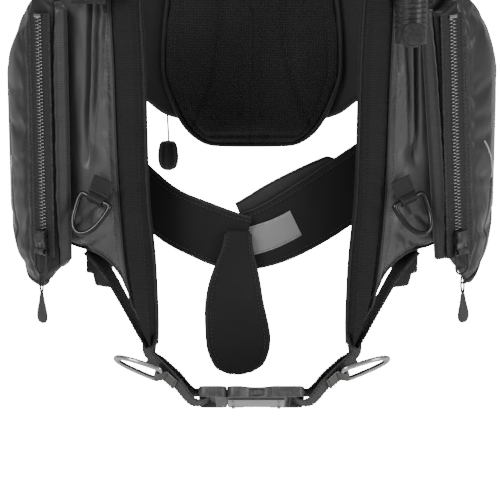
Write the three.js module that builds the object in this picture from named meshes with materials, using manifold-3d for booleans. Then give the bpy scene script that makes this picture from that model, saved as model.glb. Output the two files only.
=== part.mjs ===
// A jacket-style buoyancy compensator vest for diving, hanging upright as it is worn.
// Millimetres, +Z up. The wearer faces -Y, so the wearer's left is +X.
// The origin is the middle of the rubber rest that the tank lies against, on its rear face.
import * as THREE from "three";
import { mergeVertices } from "three/addons/utils/BufferGeometryUtils.js";
import Module from "manifold-3d";

const wasm = await Module();
wasm.setup();

// ---------- driving dimensions ----------
const GAP = 0.3; // clearance between pieces that lie on each other
const TORSO = { halfWidth: 200, halfDepth: 104, centreY: -136.6, squareness: 2.6 };
const SKIN = 2; // fabric lies this far outside the wearer
const LOBE_THICK = 28; // inflated front lobe
const LOBE_EDGE = 0.45; // share of that thickness left at its seams
const LOBE_BACK_ANGLE = 100; // the side seam, in degrees from the front
const TRIM_THICK = 22; // padded mesh edge of a lobe
const POCKET_THICK = 20;
const REAR_THICK = 16; // rear air cell
const BACK_PAD_THICK = 22;
const BACK_PAD_HALF_WIDTH = 98;
const BACK_PAD_BOTTOM = -124;
const BACK_PAD_TOP = 198;
const PLATE = { halfWidth: 60, bottom: -96, top: 196, thick: 5, corner: 26 };
const PLATE_ROOM = 5.3; // between the air cell and the plate, where the band passes
const REST = { halfWidth: 30, halfHeight: 38, thick: 4 }; // rubber tank rest
const TANK_RADIUS = 92; // a 184 mm tank
const BAND = { width: 50, thick: 3, slotX: 50 };
const CAM = { length: 62, width: 58, wall: 5, pinRadius: 3 };
const WAIST_WEBBING = 50;
const WEBBING_THICK = 2.4;
const WIRE = 2.6; // radius of a ring's wire
const ZIP = { width: 30, thick: 2, bottom: -206, top: 38 };
const SLIDER = { width: 13, length: 24, thick: 7 };
const PULL_TAG = { halfLength: 15, halfWidth: 7.5, halfThick: 3.9 };
const BUCKLE_TILT = 152; // degrees about X: the waist buckle's face looks forwards and down
const WAIST_BUCKLE = { webbing: WAIST_WEBBING, thick: 11, latch: 29, socket: 78, prong: 54 };
const BAR = { width: 5, thick: 3.2, slot: 12 }; // the end bar of a buckle, and the slot behind it
const SHOULDER_WEBBING = 38;
const SHOULDER_BUCKLE = { webbing: SHOULDER_WEBBING, thick: 10, latch: 22, socket: 50, prong: 36 };
const HOSE_RADIUS = 15;

// ---------- small helpers ----------
const radians = THREE.MathUtils.degToRad;
const lerp = THREE.MathUtils.lerp;
const vector = (x, y, z) => new THREE.Vector3(x, y, z);
const vest = new THREE.Group();

// A smooth curve through [x, y] knots, as a function of x.
function profile(knots) {
  const slope = knots.map((_, i) => {
    const a = knots[Math.max(i - 1, 0)];
    const b = knots[Math.min(i + 1, knots.length - 1)];
    return (b[1] - a[1]) / (b[0] - a[0]);
  });
  return (x) => {
    let i = 0;
    while (i < knots.length - 2 && x > knots[i + 1][0]) i++;
    const [x0, y0] = knots[i];
    const [x1, y1] = knots[i + 1];
    const h = x1 - x0;
    const t = Math.min(Math.max((x - x0) / h, 0), 1);
    const s = 1 - t;
    return (
      y0 * s * s * (1 + 2 * t) + y1 * t * t * (3 - 2 * t) + h * t * s * (slope[i] * s - slope[i + 1] * t)
    );
  };
}

// The same surface with its vertices merged and its faces looking out.
function closed(geometry) {
  const bare = geometry.clone();
  bare.deleteAttribute("normal");
  bare.deleteAttribute("uv");
  const merged = mergeVertices(bare, 1e-3);
  const p = merged.attributes.position;
  const index = merged.index.array;
  const [a, b, c] = [vector(), vector(), vector()];
  let volume = 0;
  for (let i = 0; i < index.length; i += 3) {
    a.fromBufferAttribute(p, index[i]);
    b.fromBufferAttribute(p, index[i + 1]);
    c.fromBufferAttribute(p, index[i + 2]);
    volume += a.dot(b.cross(c));
  }
  if (volume < 0) {
    for (let i = 0; i < index.length; i += 3) [index[i], index[i + 1]] = [index[i + 1], index[i]];
  }
  return merged;
}

// A box with u, v and w from 0 to 1, bent by place(u, v, w).
function bentBox(uSteps, vSteps, wSteps, place) {
  const box = new THREE.BoxGeometry(1, 1, 1, uSteps, vSteps, wSteps);
  const position = box.attributes.position;
  const at = vector();
  for (let i = 0; i < position.count; i++) {
    at.fromBufferAttribute(position, i).addScalar(0.5);
    const to = place(at.x, at.y, at.z);
    position.setXYZ(i, to.x, to.y, to.z);
  }
  return closed(box);
}

function toSolid(geometry) {
  const g = closed(geometry);
  const triVerts = new Uint32Array(g.index.array);
  return new wasm.Manifold(new wasm.Mesh({ numProp: 3, vertProperties: g.attributes.position.array, triVerts }));
}

function fromSolid(solid) {
  const mesh = solid.getMesh();
  const g = new THREE.BufferGeometry();
  g.setAttribute("position", new THREE.BufferAttribute(new Float32Array(mesh.vertProperties), 3));
  g.setIndex(new THREE.BufferAttribute(new Uint32Array(mesh.triVerts), 1));
  return g;
}

const cut = (geometry, ...tools) =>
  fromSolid(tools.reduce((solid, tool) => solid.subtract(toSolid(tool)), toSolid(geometry)));
const join = (geometry, ...more) =>
  fromSolid(more.reduce((solid, other) => solid.add(toSolid(other)), toSolid(geometry)));

// A block from its lowest to its highest corner.
function block(x0, y0, z0, x1, y1, z1) {
  const box = new THREE.BoxGeometry(x1 - x0, y1 - y0, z1 - z0);
  return box.translate((x0 + x1) / 2, (y0 + y1) / 2, (z0 + z1) / 2);
}

function cylinder(radius, length, sides = 20) {
  return new THREE.CylinderGeometry(radius, radius, length, sides);
}

// ---------- materials ----------
const finish = (color, roughness, metalness = 0) =>
  new THREE.MeshStandardMaterial({ color, roughness, metalness });
const NYLON = finish(0x3a3a3c, 0.55);
const POCKET_NYLON = finish(0x343436, 0.6);
const MESH = finish(0x161616, 0.85);
const WEBBING = finish(0x232324, 0.7);
const NEOPRENE = finish(0x141414, 0.9);
const PLASTIC = finish(0x1c1c1e, 0.4);
const RUBBER = finish(0x1a1a1a, 0.8);
const STEEL = finish(0x8c8c90, 0.3, 1);
const SATIN = finish(0xb9b9bb, 0.35, 0.8);
const GREY_TAB = finish(0x8a8a88, 0.7);

function add(name, geometry, material, parent = vest) {
  const mesh = new THREE.Mesh(geometry, material);
  mesh.name = name;
  parent.add(mesh);
  return mesh;
}

// ---------- the wall round the wearer ----------
// A point outside the wearer, from its angle, height and offset outwards.
// The angle is in degrees from the front, positive to the wearer's left.
function wall(angle, z, offset) {
  const { halfWidth: a, halfDepth: b, centreY, squareness: n } = TORSO;
  const s = Math.sin(radians(angle));
  const c = Math.cos(radians(angle));
  const power = (x, e) => Math.sign(x) * Math.abs(x) ** e;
  const out = vector(power(s, (2 * (n - 1)) / n) / a, -power(c, (2 * (n - 1)) / n) / b, 0).normalize();
  return vector(a * power(s, 2 / n), centreY - b * power(c, 2 / n), z).addScaledVector(out, offset);
}

// A point on a strap or hose, laid out for the fitted torso. It moves out with the torso's own sides.
const FITTED = { halfWidth: 200, halfDepth: 104 };
function laid(x, y, z) {
  const share = (value, half) => THREE.MathUtils.clamp(value / half, -1, 1);
  const wider = share(x, FITTED.halfWidth) * (TORSO.halfWidth - FITTED.halfWidth);
  const deeper = share(y - TORSO.centreY, FITTED.halfDepth) * (TORSO.halfDepth - FITTED.halfDepth);
  return vector(x + wider, y + deeper, z);
}

// A flat piece between two angles and two heights, lying between two offsets. Each may be a function.
function wallPiece(spec) {
  const { from, to, low, high, inside, outside, steps } = spec;
  const value = (f, ...at) => (typeof f === "function" ? f(...at) : f);
  return bentBox(steps[0], steps[1], 1, (u, v, w) => {
    const roughAngle = lerp(value(from, 0), value(to, 0), u);
    const z = lerp(value(low, roughAngle), value(high, roughAngle), v);
    const angle = lerp(value(from, z), value(to, z), u);
    return wall(angle, z, lerp(value(inside, u, v), value(outside, u, v), w));
  });
}

// Thins a padded piece towards its edges.
function padded(full, edgeShare, rim = 0.14) {
  const rise = (t) => Math.sin((Math.PI / 2) * Math.min(Math.min(t, 1 - t) / rim, 1));
  return (u, v) => full * lerp(edgeShare, 1, Math.min(rise(u), rise(v)));
}

// A strip along a curve. across(t) is the direction of its width, and width may be a function of t.
function ribbon(points, spec) {
  const { width, across, thick, steps = 16, lift = 0, widthSteps = 2 } = spec;
  const curve = new THREE.CatmullRomCurve3(points, false, "centripetal");
  return bentBox(steps, widthSteps, 1, (u, v, w) => {
    const along = curve.getTangent(u);
    const wide = across(u).clone();
    const side = wide.addScaledVector(along, -wide.dot(along)).normalize();
    const out = vector().crossVectors(along, side).normalize();
    const span = typeof width === "function" ? width(u) : width;
    const at = curve.getPoint(u).addScaledVector(side, (v - 0.5) * span);
    return at.addScaledVector(out, lift + (w - 0.5) * thick);
  });
}

function tube(points, radius, steps, sides = 8) {
  const section = new THREE.Shape().absarc(0, 0, radius, 0, 2 * Math.PI);
  const extrudePath = new THREE.CatmullRomCurve3(points, false, "centripetal");
  const settings = { steps, curveSegments: sides / 2, extrudePath, bevelEnabled: false };
  return closed(new THREE.ExtrudeGeometry(section, settings));
}

// A D-shaped wire ring in the XY plane: a straight bar on the Y axis, and a bow that reaches out along +X.
function dRing(barLength, reach, wire = WIRE, lift = 0) {
  const half = barLength / 2;
  const bow = [];
  const count = 8;
  for (let i = 0; i <= count; i++) {
    const a = -Math.PI / 2 + (Math.PI * i) / count;
    bow.push(vector(reach * Math.cos(a) ** 0.8, half * Math.sin(a), lift * Math.cos(a)));
  }
  const bar = [vector(-0.5, half * 0.55, 0), vector(-0.5, 0, 0), vector(-0.5, -half * 0.55, 0)];
  const curve = new THREE.CatmullRomCurve3([...bow, ...bar], true, "centripetal");
  return closed(new THREE.TubeGeometry(curve, 24, wire, 6, true));
}

// A group whose X axis runs along `along` and whose Y axis is as near as can be to `across`.
function placedGroup(at, along, across) {
  const x = along.clone().normalize();
  const z = vector().crossVectors(x, across).normalize();
  const y = vector().crossVectors(z, x);
  const group = new THREE.Group();
  group.quaternion.setFromRotationMatrix(new THREE.Matrix4().makeBasis(x, y, z));
  group.position.copy(at);
  vest.add(group);
  return group;
}

// A group whose Z axis is `out` and whose X axis is as near as can be to `along`.
function facing(at, along, out) {
  return placedGroup(at, along.clone().projectOnPlane(out), vector().crossVectors(out, along));
}

// ---------- front lobes ----------
// Degrees from the front of each edge, by height.
const lobeFront = profile([
  [-300, 24],
  [-250, 26.7],
  [-188, 29.6],
  [-127, 32.3],
  [-77, 34],
  [-17, 35],
  [130, 37],
]);
const trimInner = profile([[-300, 22], [-250, 23], [-208, 23.6], [-147, 25], [0, 25.4], [130, 28]]);
const lobeBottom = profile([
  [34, -292],
  [37, -262],
  [41, -230],
  [48, -212],
  [58, -206],
  [75, -200],
  [90, -188],
  [100, -168],
]);
const lobeTop = profile([[34, 92], [45, 118], [58, 98], [72, 48], [86, 24], [100, 30]]);

const SIDES = [
  { name: "right", sign: -1, zipTop: 57, zipBottom: 57 },
  { name: "left", sign: 1, zipTop: 50, zipBottom: 58 },
];

for (const { name, sign } of SIDES) {
  const thick = padded(LOBE_THICK, LOBE_EDGE);
  add(
    `lobe_${name}`,
    wallPiece({
      from: (z) => sign * (lobeFront(z) + 0.3),
      to: sign * LOBE_BACK_ANGLE,
      low: (angle) => lobeBottom(Math.abs(angle)),
      high: (angle) => lobeTop(Math.abs(angle)),
      inside: SKIN,
      outside: (u, v) => SKIN + thick(u, v),
      steps: [10, 11],
    }),
    NYLON,
  );
  const trimThick = padded(TRIM_THICK, 0.5, 0.3);
  add(
    `edge_pad_${name}`,
    wallPiece({
      from: (z) => sign * trimInner(z),
      to: (z) => sign * lobeFront(z),
      low: -298,
      high: 90,
      inside: 0,
      outside: (u, v) => trimThick(u, 0.5),
      steps: [4, 11],
    }),
    MESH,
  );
}

// ---------- zipped pockets on the lobes ----------
const POCKET_INSIDE = SKIN + LOBE_THICK + 3 * GAP;
const POCKET_BEFORE_ZIP = 7; // degrees of pocket in front of its zip
const pocketBottom = profile([[50, -214], [58, -232], [66, -246], [78, -236], [90, -206], [97, -186]]);
const pocketTop = profile([[50, 44], [60, 58], [75, 34], [84, 12], [97, 10]]);

const zipPoint = (side, z) => {
  const share = (z - ZIP.bottom) / (ZIP.top - ZIP.bottom);
  const bottom = wall(side.sign * side.zipBottom, ZIP.bottom, 0);
  const top = wall(side.sign * side.zipTop, ZIP.top, 0);
  const angle = side.sign * lerp(side.zipBottom, side.zipTop, 0.5);
  const out = wall(angle, 0, 1).sub(wall(angle, 0, 0));
  return { at: bottom.lerp(top, share), out };
};

for (const side of SIDES) {
  const { name, sign } = side;
  const thick = padded(POCKET_THICK, 0.5, 0.2);
  const share = (z) => (z - ZIP.bottom) / (ZIP.top - ZIP.bottom);
  const edge = (z) => side.zipBottom + (side.zipTop - side.zipBottom) * share(z) - POCKET_BEFORE_ZIP;
  add(
    `zip_pocket_${name}`,
    wallPiece({
      from: (z) => sign * edge(Math.min(z, ZIP.top)),
      to: sign * 97,
      low: (angle) => pocketBottom(Math.abs(angle)),
      high: (angle) => pocketTop(Math.abs(angle)),
      inside: POCKET_INSIDE,
      outside: (u, v) => POCKET_INSIDE + thick(u, v),
      steps: [8, 9],
    }),
    POCKET_NYLON,
  );

  const low = zipPoint(side, ZIP.bottom);
  const high = zipPoint(side, ZIP.top);
  const reach = POCKET_INSIDE + POCKET_THICK + 3 * GAP;
  const bottom = low.at.clone().addScaledVector(low.out, reach);
  const top = high.at.clone().addScaledVector(low.out, reach);
  const along = top.clone().sub(bottom);
  const length = along.length();
  const tape = placedGroup(bottom, along, vector().crossVectors(low.out, along));
  const strip = block(0, -ZIP.width / 2, -ZIP.thick / 2, length, ZIP.width / 2, ZIP.thick / 2);
  add(`zip_tape_${name}`, strip, WEBBING, tape);

  // The slider rides on the tape, and its pull hangs from the loop on its nose.
  const rise = ZIP.thick / 2 + GAP;
  const body = block(3, -SLIDER.width / 2, rise, 3 + SLIDER.length, SLIDER.width / 2, rise + SLIDER.thick);
  const waist = block(9, -SLIDER.width, rise + 3, 15, SLIDER.width, rise + 12);
  const eye = cylinder(2, 40, 12).translate(6, 0, rise + 4);
  add(`zip_slider_${name}`, cut(body, waist.translate(0, 0, 2), eye), STEEL, tape);
  const cheekY = SLIDER.width / 2 + GAP + 1;
  const pin = cylinder(1.6, 2 * cheekY, 10).translate(6, 0, rise + 4);
  const cheek = (y) => block(-18, y - 1, rise + 2.6, 7.6, y + 1, rise + 5.4);
  const bridge = block(-20, -cheekY - 1, rise + 2.6, -18, cheekY + 1, rise + 5.4);
  const cord = block(-42, -1.6, rise + 2.4, -19, 1.6, rise + 5.6);
  const { halfLength, halfWidth, halfThick } = PULL_TAG;
  const tag = new THREE.SphereGeometry(1, 12, 7).scale(halfLength, halfWidth, halfThick);
  const pull = join(pin, cheek(cheekY), cheek(-cheekY), bridge, cord, tag.translate(-54, 0, rise + 4));
  add(`zip_pull_${name}`, pull, PLASTIC, tape);
}

// ---------- lower pouches under the lobes ----------
for (const { name, sign } of SIDES) {
  add(
    `lower_pouch_${name}`,
    wallPiece({
      from: sign * 42,
      to: sign * 57,
      low: (angle) => (Math.abs(angle) < 50 ? -246 : -234),
      high: -188,
      inside: SKIN - 16,
      outside: SKIN - 3 * GAP,
      steps: [5, 3],
    }),
    WEBBING,
  );
}

// ---------- rings, each with its bar in the loop of a sewn tab ----------
const LOOP = { rise: 4.4, wall: 1.6 };

// A tab with X along it and Z off the cloth, and a loop for the ring's bar at X = 0.
function ringTab(x0, x1, halfWidth, loopHalf) {
  const plate = block(x0, -halfWidth, 0, x1, halfWidth, 2);
  const loop = cylinder(WIRE + GAP + LOOP.wall, 2 * loopHalf, 14).translate(0, 0, LOOP.rise);
  const hole = cylinder(WIRE + GAP, 4 * halfWidth, 14).translate(0, 0, LOOP.rise);
  return cut(join(plate, loop), hole);
}

const onTab = (ring, tilt) => ring.translate(0.5, 0, 0).rotateY(radians(-tilt)).translate(0, 0, LOOP.rise);

const CHEST_RING = { angle: 40, z: -146, roll: 20, bar: 32, reach: 36, bend: 10, tilt: 12 };
for (const { name, sign } of SIDES) {
  const foot = wall(sign * CHEST_RING.angle, CHEST_RING.z, SKIN + LOBE_THICK - 0.3);
  const out = wall(sign * CHEST_RING.angle, CHEST_RING.z, SKIN + LOBE_THICK + 0.7).sub(foot);
  const hang = vector(0, 0, -1).applyAxisAngle(out, radians(sign * CHEST_RING.roll));
  const tab = facing(foot, hang, out);
  add(`ring_patch_${name}`, ringTab(-22, 5, 11, 7), WEBBING, tab);
  const ring = dRing(CHEST_RING.bar, CHEST_RING.reach, WIRE, CHEST_RING.bend);
  add(`chest_ring_${name}`, onTab(ring, CHEST_RING.tilt), PLASTIC, tab);
}

// ---------- back: pad, rear air cell, plate, rest, band ----------
const padHalfWidth = profile([
  [BACK_PAD_BOTTOM, 34],
  [BACK_PAD_BOTTOM + 4, 52],
  [BACK_PAD_BOTTOM + 20, 72],
  [BACK_PAD_BOTTOM + 50, 88],
  [BACK_PAD_BOTTOM + 84, BACK_PAD_HALF_WIDTH],
  [40, 92],
  [130, 74],
  [BACK_PAD_TOP, 62],
]);
const angleAt = (x) => (Math.asin((x / TORSO.halfWidth) ** (TORSO.squareness / 2)) * 180) / Math.PI;
const padThick = padded(BACK_PAD_THICK, 0.4, 0.16);
add(
  "back_pad",
  bentBox(10, 12, 1, (u, v, w) => {
    const z = lerp(BACK_PAD_BOTTOM, BACK_PAD_TOP, v ** 1.7); // rows lie closer where it's rounder
    const x = lerp(-1, 1, u) * padHalfWidth(z);
    const angle = 180 - Math.sign(x) * angleAt(Math.abs(x));
    return wall(angle, z, SKIN - 3 * GAP - padThick(u, v) * (1 - w));
  }),
  MESH,
);

const rearBottom = profile([
  [100.4, -166],
  [112, -138],
  [124, -118],
  [134, -88],
  [142, -64],
  [150, -72],
  [158, -90],
  [168, -98],
  [180, -100],
]);
const rearTop = profile([
  [100.4, 32],
  [112, 62],
  [124, 112],
  [136, 165],
  [150, 208],
  [165, 226],
  [180, 228],
]);
const rearThick = padded(REAR_THICK, 0.5, 0.05);
add(
  "rear_air_cell",
  bentBox(22, 9, 1, (u, v, w) => {
    const angle = lerp(100.4, 259.6, u);
    const from = Math.min(angle, 360 - angle);
    const z = lerp(rearBottom(from), rearTop(from), v);
    return wall(angle, z, SKIN + w * rearThick(u, v));
  }),
  NYLON,
);

// The plate, the rest and the band stand behind the air cell.
const rearFace = TORSO.centreY + TORSO.halfDepth + SKIN + REAR_THICK;
const plateFront = rearFace + PLATE_ROOM;
const plateBack = plateFront + PLATE.thick;
const restBack = plateBack + GAP + REST.thick;
const tankY = restBack + TANK_RADIUS; // the tank's middle

function roundedRectangle(x0, z0, x1, z1, r) {
  const shape = new THREE.Shape();
  shape.absarc(x1 - r, z1 - r, r, 0, Math.PI / 2);
  shape.absarc(x0 + r, z1 - r, r, Math.PI / 2, Math.PI);
  shape.absarc(x0 + r, z0 + r, r, Math.PI, 1.5 * Math.PI);
  shape.absarc(x1 - r, z0 + r, r, 1.5 * Math.PI, 2 * Math.PI);
  return shape;
}

// An outline drawn in X and Z, given a depth along Y from y0 to y1.
function plateOf(shape, y0, y1, curveSegments = 6) {
  const geometry = new THREE.ExtrudeGeometry(shape, { depth: y1 - y0, bevelEnabled: false, curveSegments });
  return geometry.rotateX(Math.PI / 2).translate(0, y1, 0);
}

const { halfWidth: plateHalf, bottom: plateBottom, top: plateTop, corner: plateCorner } = PLATE;
const plateOutline = roundedRectangle(-plateHalf, plateBottom, plateHalf, plateTop, plateCorner);
const bandSlots = [-1, 1].map((s) => {
  const x = s * BAND.slotX;
  const half = BAND.thick / 2 + GAP;
  return block(x - half, plateFront - 1, -BAND.width / 2 - 1, x + half, plateBack + 1, BAND.width / 2 + 1);
});
const lighteningHoles = [-40, 14].map((x) =>
  plateOf(roundedRectangle(x, 86, x + 26, 148, 11), plateFront - 1, plateBack + 1, 4),
);
const plate = plateOf(plateOutline, plateFront, plateBack);
add("backplate", cut(plate, ...bandSlots, ...lighteningHoles), PLASTIC);
const restOutline = roundedRectangle(-REST.halfWidth, -REST.halfHeight, REST.halfWidth, REST.halfHeight, 8);
add("tank_rest", plateOf(restOutline, restBack - REST.thick, restBack), RUBBER);

// The band is a loop: flat in front of the plate, out through the slots and round the tank.
function bandOutline(grow) {
  const radius = TANK_RADIUS + grow;
  const x = BAND.slotX + grow - BAND.thick;
  const front = plateFront - GAP + (grow ? -grow : 0);
  const start = Math.asin(x / radius);
  const shape = new THREE.Shape();
  shape.moveTo(-x, front);
  shape.lineTo(x, front);
  shape.absarc(0, tankY + 0.5, radius, -Math.PI / 2 + start, 1.5 * Math.PI - start);
  return shape;
}
const bandInner = BAND.thick / 2; // half the webbing either side of the slot's middle
const bandShape = bandOutline(bandInner + BAND.thick);
bandShape.holes.push(new THREE.Path(bandOutline(bandInner).getPoints(20)));
const bandSettings = { depth: BAND.width, bevelEnabled: false, curveSegments: 20 };
const bandGeometry = new THREE.ExtrudeGeometry(bandShape, bandSettings);
add("tank_band", closed(bandGeometry.translate(0, 0, -BAND.width / 2)), WEBBING);

// The cam buckle sits on the band at the wearer's left, and its lever turns on a pin along Z.
const camX = TANK_RADIUS + bandInner + BAND.thick + GAP;
const camPin = vector(camX + 9, tankY - 24, 0);
const camHalf = CAM.width / 2;
const camBase = block(camX, tankY - 32, -camHalf, camX + 3, tankY + 30, camHalf);
const camEar = (z) => block(camX + 1, camPin.y - 8, z, camPin.x + 6, camPin.y + 8, z + CAM.wall);
const onCamPin = (radius, length, sides) =>
  cylinder(radius, length, sides).rotateX(Math.PI / 2).translate(camPin.x, camPin.y, 0);
const pinHole = onCamPin(CAM.pinRadius + GAP, 2 * camHalf + 10, 16);
add("cam_buckle", cut(join(camBase, camEar(-camHalf), camEar(camHalf - CAM.wall)), pinHole), PLASTIC);
const leverHalf = camHalf - CAM.wall - GAP;
const leverPin = onCamPin(CAM.pinRadius, 2 * camHalf, 12);
const leverHub = onCamPin(5.2, 2 * leverHalf, 14);
const leverArm = block(camPin.x - 2, camPin.y, -leverHalf, camPin.x + 4, camPin.y + 50, leverHalf);
add("cam_lever", join(leverHub, leverPin, leverArm), PLASTIC);

// The carry handle is a moulded bow screwed to the top of the plate.
const HANDLE = { halfSpan: 46, foot: 172, top: 226, wire: 6 };
const handlePath = [
  vector(-HANDLE.halfSpan, restBack + 4, HANDLE.foot),
  vector(-HANDLE.halfSpan, restBack + 10, HANDLE.foot + 22),
  vector(-30, restBack + 16, HANDLE.top - 8),
  vector(0, restBack + 18, HANDLE.top),
  vector(30, restBack + 16, HANDLE.top - 8),
  vector(HANDLE.halfSpan, restBack + 10, HANDLE.foot + 22),
  vector(HANDLE.halfSpan, restBack + 4, HANDLE.foot),
];
const handleFoot = (s) => {
  const x = s * HANDLE.halfSpan;
  return block(x - 9, plateBack + GAP, HANDLE.foot - 14, x + 9, restBack + 7, HANDLE.foot + 6);
};
add("carry_handle", join(tube(handlePath, HANDLE.wire, 20, 8), handleFoot(-1), handleFoot(1)), RUBBER);

// ---------- cummerbund ----------
// Each half is sewn to the rear air cell, and they lap over each other at the front.
const upright = () => vector(0, 0, 1);
const BAND_THICK = 5;
const sewnTo = (angle, z) => wall(angle, z, SKIN - BAND_THICK / 2 - 4.1);
const rightBand = [
  sewnTo(-131, -58),
  sewnTo(-118, -68),
  laid(-176, -110, -86),
  laid(-153, -138, -112),
  laid(-120, -166, -146),
  laid(-84, -189, -174),
  laid(-50, -201, -188),
  laid(-27, -206, -196),
  laid(-6, -207, -200),
];
const leftBand = [
  laid(-22, -200, -204),
  laid(20, -198, -192),
  laid(60, -189, -172),
  laid(98, -172, -150),
  laid(132, -150, -128),
  laid(157, -129, -108),
  laid(178, -106, -92),
  sewnTo(118, -76),
  sewnTo(131, -66),
];
const bandSpec = { across: upright, thick: BAND_THICK, steps: 16 };
const rightWidth = profile([[0, 44], [0.5, 52], [0.8, 58], [1, 54]]);
const leftWidth = profile([[0, 56], [0.3, 70], [0.5, 68], [0.7, 52], [1, 44]]);
add("cummerbund_right", ribbon(rightBand, { ...bandSpec, width: rightWidth }), NEOPRENE);
add("cummerbund_left", ribbon(leftBand, { ...bandSpec, width: leftWidth }), NEOPRENE);
const LINER_THICK = 3;
const linerPath = leftBand.slice(0, 4).map((at) => at.clone().add(vector(at.x < 0 ? 14 : 0, 0, 22)));
add(
  "cummerbund_liner",
  ribbon(linerPath, {
    width: profile([[0, 44], [0.5, 54], [0.9, 42], [1, 22]]),
    across: upright,
    thick: LINER_THICK,
    steps: 12,
    lift: -(BAND_THICK + LINER_THICK) / 2 - 4 * GAP,
  }),
  NEOPRENE,
);
const tongueWidth = profile([[0, 24], [0.15, 30], [0.4, 52], [0.65, 62], [0.8, 62], [0.93, 48], [1, 26]]);
const tongueAcross = vector(1, 0.12, 0.04).normalize();
const tonguePath = [
  laid(-14, -213.6, -186),
  laid(-16, -214, -220),
  laid(-18, -218, -262),
  laid(-14, -218, -300),
  laid(-12, -215, -337),
];
const tongueSpec = { width: tongueWidth, across: () => tongueAcross, thick: BAND_THICK, steps: 14, widthSteps: 4 };
add("cummerbund_tongue", ribbon(tonguePath, tongueSpec), NEOPRENE);

// ---------- buckles ----------
// Flat, with X along the webbing, Y across it and Z through it.
// The latch's two arms snap into the socket's mouth at X = 0.
function buckle({ webbing, thick, latch, socket, prong }) {
  const half = webbing / 2 + 5;
  const slabOf = (x0, x1) => {
    const shape = roundedRectangle(x0, -half, x1, half, 7);
    const slab = new THREE.ExtrudeGeometry(shape, { depth: thick, bevelEnabled: false, curveSegments: 4 });
    return slab.translate(0, 0, -thick / 2);
  };
  // The slot that the webbing goes through, and the thinning of the bar it turns round.
  const barCuts = (end, inwards) => {
    const xs = (near, far) => [end + inwards * near, end + inwards * far].sort((p, q) => p - q);
    const [s0, s1] = xs(BAR.width, BAR.width + BAR.slot);
    const [b0, b1] = xs(-1, BAR.width + 1);
    const y = webbing / 2 + 1;
    const flank = (z0, z1) => block(b0, -y, z0, b1, y, z1);
    return [block(s0, -y, -thick, s1, y, thick), flank(BAR.thick / 2, thick), flank(-thick, -BAR.thick / 2)];
  };
  const mouthHalf = half - 5;
  const mouth = block(-1, -mouthHalf, -thick * 0.3, prong + 3, mouthHalf, thick * 0.3);
  const thumb = (s) => {
    const round = cylinder(prong * 0.42, thick * 2, 24).rotateX(Math.PI / 2);
    return round.translate(prong * 0.55, s * (half + prong * 0.3), 0);
  };
  const socketPart = cut(slabOf(0, socket), mouth, thumb(1), thumb(-1), ...barCuts(socket, -1));
  const armThick = thick * 0.3 - 0.4;
  const arm = (s) => block(-3, s * (mouthHalf - 4.5) - 3.5, -armThick, prong, s * (mouthHalf - 4.5) + 3.5, armThick);
  const guide = block(-3, -3, -armThick, prong * 0.7, 3, armThick);
  const latchPart = join(cut(slabOf(-latch, -GAP), ...barCuts(-latch, 1)), arm(1), arm(-1), guide);
  return { latchPart, socketPart };
}

// The waist buckle lies across the front, with its latch on the wearer's right.
const BUCKLE_AT = laid(-25, -258, -349);
const waist = new THREE.Group();
waist.position.copy(BUCKLE_AT);
waist.rotation.x = radians(BUCKLE_TILT);
vest.add(waist);
const waistBuckle = buckle(WAIST_BUCKLE);
add("waist_latch", waistBuckle.latchPart, PLASTIC, waist);
add("waist_socket", waistBuckle.socketPart, PLASTIC, waist);
const face = WAIST_BUCKLE.thick / 2 + GAP;
add("waist_face_plate", block(1, -18, face, WAIST_BUCKLE.prong + 4, 18, face + 1.5), SATIN, waist);

// ---------- webbing that turns round a buckle's end bar ----------
// It comes from `inner`, goes round the bar and back to `outer`. The bar is `reach` from the mouth, along `way`.
function loopedWebbing(mouth, way, out, reach, inner, outer) {
  const at = (s, h) => mouth.clone().addScaledVector(way, s).addScaledVector(out, h);
  const rise = BAR.thick / 2 + WEBBING_THICK / 2 + 7 * GAP;
  const edge = reach - BAR.width - GAP;
  const round = [at(edge, -rise), at(edge - rise, 0), at(edge, rise)];
  const turn = [at(reach + 5, -rise), ...round, at(reach + 5, rise)];
  return [...inner, ...turn, ...outer];
}

// ---------- waist webbing, from the tail of each lobe to the buckle ----------
const buckleAcross = vector(0, Math.cos(radians(BUCKLE_TILT)), Math.sin(radians(BUCKLE_TILT)));
const buckleOut = vector(0, -Math.sin(radians(BUCKLE_TILT)), Math.cos(radians(BUCKLE_TILT)));
for (const { name, sign } of SIDES) {
  const reach = sign < 0 ? WAIST_BUCKLE.latch : WAIST_BUCKLE.socket;
  const way = vector(sign, 0, 0);
  const end = BUCKLE_AT.clone().addScaledVector(way, reach);
  const tail = laid(sign * 104, -243, -306.3);
  const tailAcross = vector(sign * -0.35, -0.85, 0.25);
  const across = (t) => buckleAcross.clone().lerp(tailAcross, Math.abs(2 * t - 1)).normalize();
  const between = (s, drop) => end.clone().lerp(tail, s).addScaledVector(buckleOut, drop);
  const inner = [tail, between(0.75, -1), between(0.45, -1.5)];
  const outer = [between(0.45, 6), between(0.75, 5), between(1.02, 5)];
  const run = loopedWebbing(BUCKLE_AT, way, buckleOut, reach, inner, outer);
  const spec = { width: WAIST_WEBBING, across, thick: WEBBING_THICK, steps: 30, widthSteps: 1 };
  add(`waist_webbing_${name}`, ribbon(run, spec), WEBBING);

  // The ring hangs from a tab stitched to the webbing.
  const along = tail.clone().sub(end).normalize();
  const out = vector().crossVectors(along, across(0.9));
  if (out.dot(buckleOut) < 0) out.negate();
  const tab = facing(between(0.76, 8.6), along, out.normalize());
  add(`ring_keeper_${name}`, ringTab(-20, 6, 20, 12), GREY_TAB, tab);
  add(`waist_ring_${name}`, onTab(dRing(46, 46), 22), STEEL, tab);
}

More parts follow.
